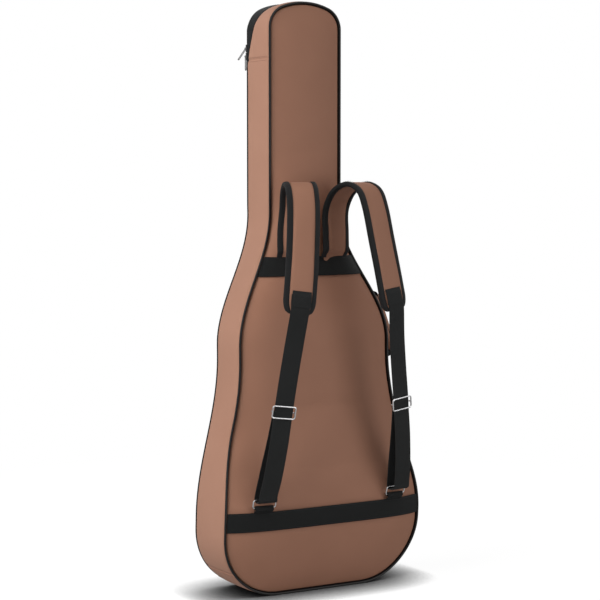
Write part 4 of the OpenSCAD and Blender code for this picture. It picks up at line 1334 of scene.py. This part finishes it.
restHalf = bag["neckWidth"] / 2 - bag["wall"] - 0.0015
restLow = floorY(inside["restZ"])
restHigh = restLow + inside["restDepth"]
notchHalf = sqrt(2 * inside["notch"] * inside["notchRadius"] - inside["notch"] ** 2)
notchTurn = asin(notchHalf / inside["notchRadius"])
notchLine = arc(0, restHigh - inside["notch"] + inside["notchRadius"], inside["notchRadius"],
                [angle - pi / 2 for angle in shares(18, notchTurn, -notchTurn)])
restCorners = [(-restHalf, restHigh), (-restHalf, restLow), (restHalf, restLow), (restHalf, restHigh)]
restLine = roundOutline(restCorners, inside["round"])
restLine = [p for p in restLine if not (abs(p[0]) < notchHalf + 0.003 and p[1] > restHigh - 0.002)]
cut = max(i for i, p in enumerate(restLine) if p[1] > restHigh - 0.0001 and p[0] > 0) + 1
roundedBlock("neckRest", "neck_rest", restLine[:cut] + notchLine + restLine[cut:], 12,
             lambda x, y, t: Vector((x, y, inside["restZ"] + (t - 0.5) * inside["restHeight"])))


def endPadPoint(x, z, t):
    return Vector((x, mix(floorY(z), frontY(z) - recess(z) - bag["lidFoam"] - 0.005, t), z))


endLow, endHigh, endHalf = bag["wall"], bag["wall"] + inside["padHeight"], inside["padWidth"] / 2
endLine = [(-endHalf, endLow), (endHalf, endLow), (endHalf, endHigh), (-endHalf, endHigh)]
roundedBlock("endPad", "end_pad", roundOutline(endLine, inside["padCorner"]), 24, endPadPoint)


def neckStrapPiece(fromX, toX, lift, share):
    def point(a, b):
        z = inside["restZ"] + (a - 0.5) * inside["strapWidth"]
        return Vector((mix(fromX, toX, b), restHigh + inside["strapUp"] + lift, z))

    return webbing("layer", shares(24), point, (inside["strapWidth"], toX - fromX), share)


hand(join("neckStrap", [neckStrapPiece(-restHalf, restHalf, 0, 0.9),
                        neckStrapPiece(-inside["overlap"], restHalf - 0.004, 0.0017, 0.7)]),
     "bag", "webbing", blackWebbing, "neck_strap")
print("Inside fittings made")

# Stitches: short bent threads set down along the seams
stitchLook = {
    "length": 0.0026, "thick": 0.00055, "pitch": 0.0036, "fromSeam": 0.0036, "fromBand": 0.003, "bandEnds": 0.009,
    "near": 0.08, "far": 0.92, "patchLift": 0.0009, "bindingLift": 0.0011, "pocketLift": 0.0004,
    "pocketRows": (0.0035, 0.0095), "fromPatch": 0.003, "handleLift": 0.0027,
}


def stitchShape():
    putDown()
    bpy.ops.mesh.primitive_uv_sphere_add(segments=6, ring_count=4, radius=0.5)
    shape = bpy.context.object
    for vertex in shape.data.vertices:
        x, y, z = vertex.co
        vertex.co = (x * stitchLook["thick"], z * stitchLook["length"], y * stitchLook["thick"] * (1 - z * z))
    return shape


# Stitches along a line; place(t) says where the line runs and which way is up there
def stitchRow(place, low=0.0, high=1.0):
    line = [place(t)[0] for t in shares(40, low, high)]
    count = max(1, round(sum((b - a).length for a, b in zip(line, line[1:])) / stitchLook["pitch"]))
    row = []
    for k in range(count):
        t = mix(low, high, (k + 0.5) / count)
        point, up = place(t)
        row.append((point, (place(t + 0.0005)[0] - place(t - 0.0005)[0]).normalized(), up))
    return row


def sewn(name, rows, body, paint, slot, mirrored=False):
    obj = repeat(name, stitchShape(), rows)
    if mirrored:
        obj = join(name, [obj, mirrorOf(obj, name)])
    hand(obj, body, slot, paint)


def seamStitch(share, v):
    up = rimOut(share)
    return gussetPoint(v, share) + up * 0.0002, up


rows = []
for share in (seamShare, 1 - seamShare, baseShare, 1 - baseShare):
    for side in (-1, 1):
        line = share + side * stitchLook["fromSeam"] / loopLength
        rows += stitchRow(lambda v: seamStitch(line, v), 0.04, 0.96)
sewn("gussetStitches", rows, "bag", brownThread, "gusset")

rows = []
for middle in (bands["lowZ"], bands["highZ"]):
    for side in (-1, 1):
        z = middle + side * (bands["width"] / 2 - stitchLook["fromBand"])
        rows += stitchRow(lambda t: (onBand(z, t, stitchLook["bandEnds"], -0.0002), Vector((0, -1, 0))))
sewn("bandStitches", rows, "bag", blackThread, "webbing")


# A place on the patch of the pad, raised by a little, with the direction that it faces there
def onPatch(a, b):
    point, step = patchPoint(a, b), 0.002
    up = (patchPoint(a, b + step) - point).cross(patchPoint(a + step, b) - point).normalized()
    up = up if up.y < 0 else -up
    return point + up * stitchLook["patchLift"], up


rows = []
near, far = stitchLook["near"], stitchLook["far"]
for a0, b0, a1, b1 in ((near, near, near, far), (far, near, far, far), (near, near, far, near), (near, far, far, far),
                       (near, near, far, far), (far, near, near, far)):
    rows += stitchRow(lambda t: onPatch(mix(a0, a1, t), mix(b0, b1, t)))
sewn("patchStitches", rows, "bag", blackThread, "binding", True)


def bindingStitch(side, a, t):
    point, (middle, _, _, out) = bindingPoint(side, a, t), padRun.frame(t)
    out = out if (point - middle).dot(out) > 0 else -out
    return point + out * stitchLook["bindingLift"], out


rows = []
for side in (-1, 1):
    for a in (0.06, 0.94):
        rows += stitchRow(lambda t: bindingStitch(side, a, t), 0.035, 0.99)
sewn("bindingStitches", rows, "bag", blackThread, "binding", True)


# A point at a share of the way round a rounded rectangle, from the start of its lower side
def roundPath(t, halfWide, halfHigh, corner):
    lengths = [2 * (halfWide - corner), pi / 2 * corner, 2 * (halfHigh - corner), pi / 2 * corner] * 2
    run, heading, point = (t % 1) * sum(lengths), 1, complex(corner - halfWide, -halfHigh)
    for k, length in enumerate(lengths):
        part = min(run, length)
        run -= part
        if k % 2 == 0:
            point += heading * part
        else:
            turn = part / corner
            point += heading * corner * complex(sin(turn), 1 - cos(turn))
            heading *= 1j
    return point.real, point.imag


def pocketStitch(inward, t):
    x, z = roundPath(t, *[size - inward for size in pocketHalf])
    z += pocketMiddle
    return Vector((x, pocketY(z, inward) + stitchLook["pocketLift"], z)), Vector((0, 1, 0))


rows = []
for inward in stitchLook["pocketRows"]:
    rows += stitchRow(lambda t: pocketStitch(inward, t))
sewn("pocketStitches", rows, "lid", brownThread, "cover")


def handleStitch(z, y):
    return offFlank(z, handle["y"] + y, stitchLook["handleLift"]), flankNormal(z)


rows = []
wide, high = [handle[size] - 2 * stitchLook["fromPatch"] for size in ("patchWidth", "patchHeight")]
for z in handleZs:
    for side in (-0.5, 0.5):
        rows += stitchRow(lambda t: handleStitch(z + (t - 0.5) * (high + 0.001), side * wide))
        rows += stitchRow(lambda t: handleStitch(z + side * high, (t - 0.5) * wide))
sewn("handleStitches", rows, "bag", blackThread, "webbing")
print("Stitches made")

# Metal pieces keep their CAD shapes
keptNodes = {name: nickel for name in ("left_ring", "right_ring", "left_triglide", "right_triglide")}
keptNodes.update({place + part: sliderNickel
                  for place in ("upper", "lower", "pocket") for part in ("_slider", "_pull")})
for name, paint in keptNodes.items():
    materials = nodes[name].data.materials
    for index in range(len(materials)):
        materials[index] = paint
    if not materials:
        materials.append(paint)


# The camera stands behind the bag's left corner and looks slightly down; lengths in metres
def pointed(obj, direction):
    obj.rotation_euler = Vector(direction).to_track_quat("-Z", "Y").to_euler()


view = {"place": (-1.6291, -2.7628, 0.7527), "forward": (0.50448, 0.86056, -0.07028), "lens": 104.94}
putDown()
bpy.ops.object.camera_add(location=view["place"])
scene.camera = bpy.context.object
pointed(scene.camera, view["forward"])
scene.camera.data.lens = view["lens"]
scene.camera.data.sensor_width = 36
scene.camera.data.clip_end = 60

# Soft studio light: a broad key from the left, a weaker one from the right, one from the front, and an even
# surround; metal mirrors a surround of its own, dark below and bright above, and only the fill lamp
lights = {
    "key": {"place": (-2.6, -0.3, 1.75), "size": 2.4, "power": 86, "mirrored": False},
    "fill": {"place": (1.5, -2.75, 0.45), "size": 2.0, "power": 29, "mirrored": True},
    "front": {"place": (1.4, 3.0, 1.3), "size": 2.4, "power": 30, "mirrored": False},
}
lightsAim = Vector((0, 0, 0.5))
surroundLook = {"plain": 0.34, "mirrored": [(0, 0.1), (0.44, 0.12), (0.52, 0.5), (0.64, 0.95), (1, 1.0)]}
white = (1.0, 1.0, 1.0)

for name, look in lights.items():
    putDown()
    bpy.ops.object.light_add(type="AREA", location=look["place"])
    lamp = bpy.context.object
    lamp.name = name + "Light"
    lamp.data.shape = "DISK"
    lamp.data.size = look["size"]
    lamp.data.energy = look["power"]
    pointed(lamp, lightsAim - Vector(look["place"]))
    lamp.visible_glossy = look["mirrored"]

sky = Paint(bpy.data.worlds.new("studio"))
ramps = sky.tree.nodes.new("ShaderNodeValToRGB")
for _ in surroundLook["mirrored"][2:]:
    ramps.color_ramp.elements.new(0.5)
for element, (place, grey) in zip(ramps.color_ramp.elements, surroundLook["mirrored"]):
    element.position = place
    element.color = (grey, grey, grey, 1)
upward = sky.parts(sky.place("Generated"))[2] * 0.5 + 0.5
sky.tree.links.new(upward.socket, ramps.inputs[0])
seen, mirrored = sky.rays("Is Camera Ray", "Is Glossy Ray")
strength = sky.tint(mirrored, (surroundLook["plain"],) * 3, Sig(sky, ramps.outputs[0]))
scene.world = sky.end(sky.node("ShaderNodeBackground", inputs={"Color": sky.tint(seen, strength, white)}), "World")

# Floor: white, fading into the white surround; the bag's soft shadow on it is mostly painted shadow, ambient
# occlusion near the bag darkening the floor's glow and colour, with a faint real shadow from the lamps kept in its
# diffuse share
floorLook = {
    "size": 12, "drop": 0.0005, "shade": 0.14, "glow": 0.92, "near": 0.082, "depth": 2.7, "fadeFrom": 0.7,
    "fadeOver": 0.8, "grey": (0.5, 0.5, 0.5),
}
putDown()
bpy.ops.mesh.primitive_grid_add(x_subdivisions=8, y_subdivisions=8, size=floorLook["size"],
                                location=(0, 0, -floorLook["drop"]))
floor = named(bpy.context.object, "floor")
bpy.ops.object.transform_apply(location=True, rotation=True, scale=True)
ground = newPaint("whiteFloor")
x, y, _ = ground.parts(ground.place())
away = ((x * x + y * y) ** 0.5 - floorLook["fadeFrom"]) / floorLook["fadeOver"]
fade = away.maths("MAXIMUM", 0.0).maths("MINIMUM", 1.0)
# Painted shadow: ambient occlusion, raised to a power, darkens the glow and the diffuse colour of the floor near the
# bag
paintedShadowTone = ground.node("ShaderNodeAmbientOcclusion", {"samples": 6}, {"Distance": floorLook["near"]}, 1)
paintedShadowTone = paintedShadowTone ** floorLook["depth"]
shade = ground.node("ShaderNodeBsdfDiffuse", inputs={
    "Color": ground.tint(paintedShadowTone, (0.0, 0.0, 0.0), (floorLook["shade"],) * 3)})
glow = ground.node("ShaderNodeEmission", inputs={"Color": white, "Strength": paintedShadowTone * floorLook["glow"]})
lit = ground.node("ShaderNodeAddShader", inputs={0: shade, 1: glow})
plainWhite = ground.node("ShaderNodeEmission", inputs={"Color": white, "Strength": 1.0})
shown = ground.node("ShaderNodeMixShader", inputs={0: fade, 1: lit, 2: plainWhite})
plain = ground.node("ShaderNodeBsdfDiffuse", inputs={"Color": floorLook["grey"]})
seen, = ground.rays("Is Camera Ray")
floor.data.materials.append(ground.end(ground.node("ShaderNodeMixShader", inputs={0: seen, 1: plain, 2: shown})))
scene.view_settings.view_transform = "Standard"
print("Stage and lights set")
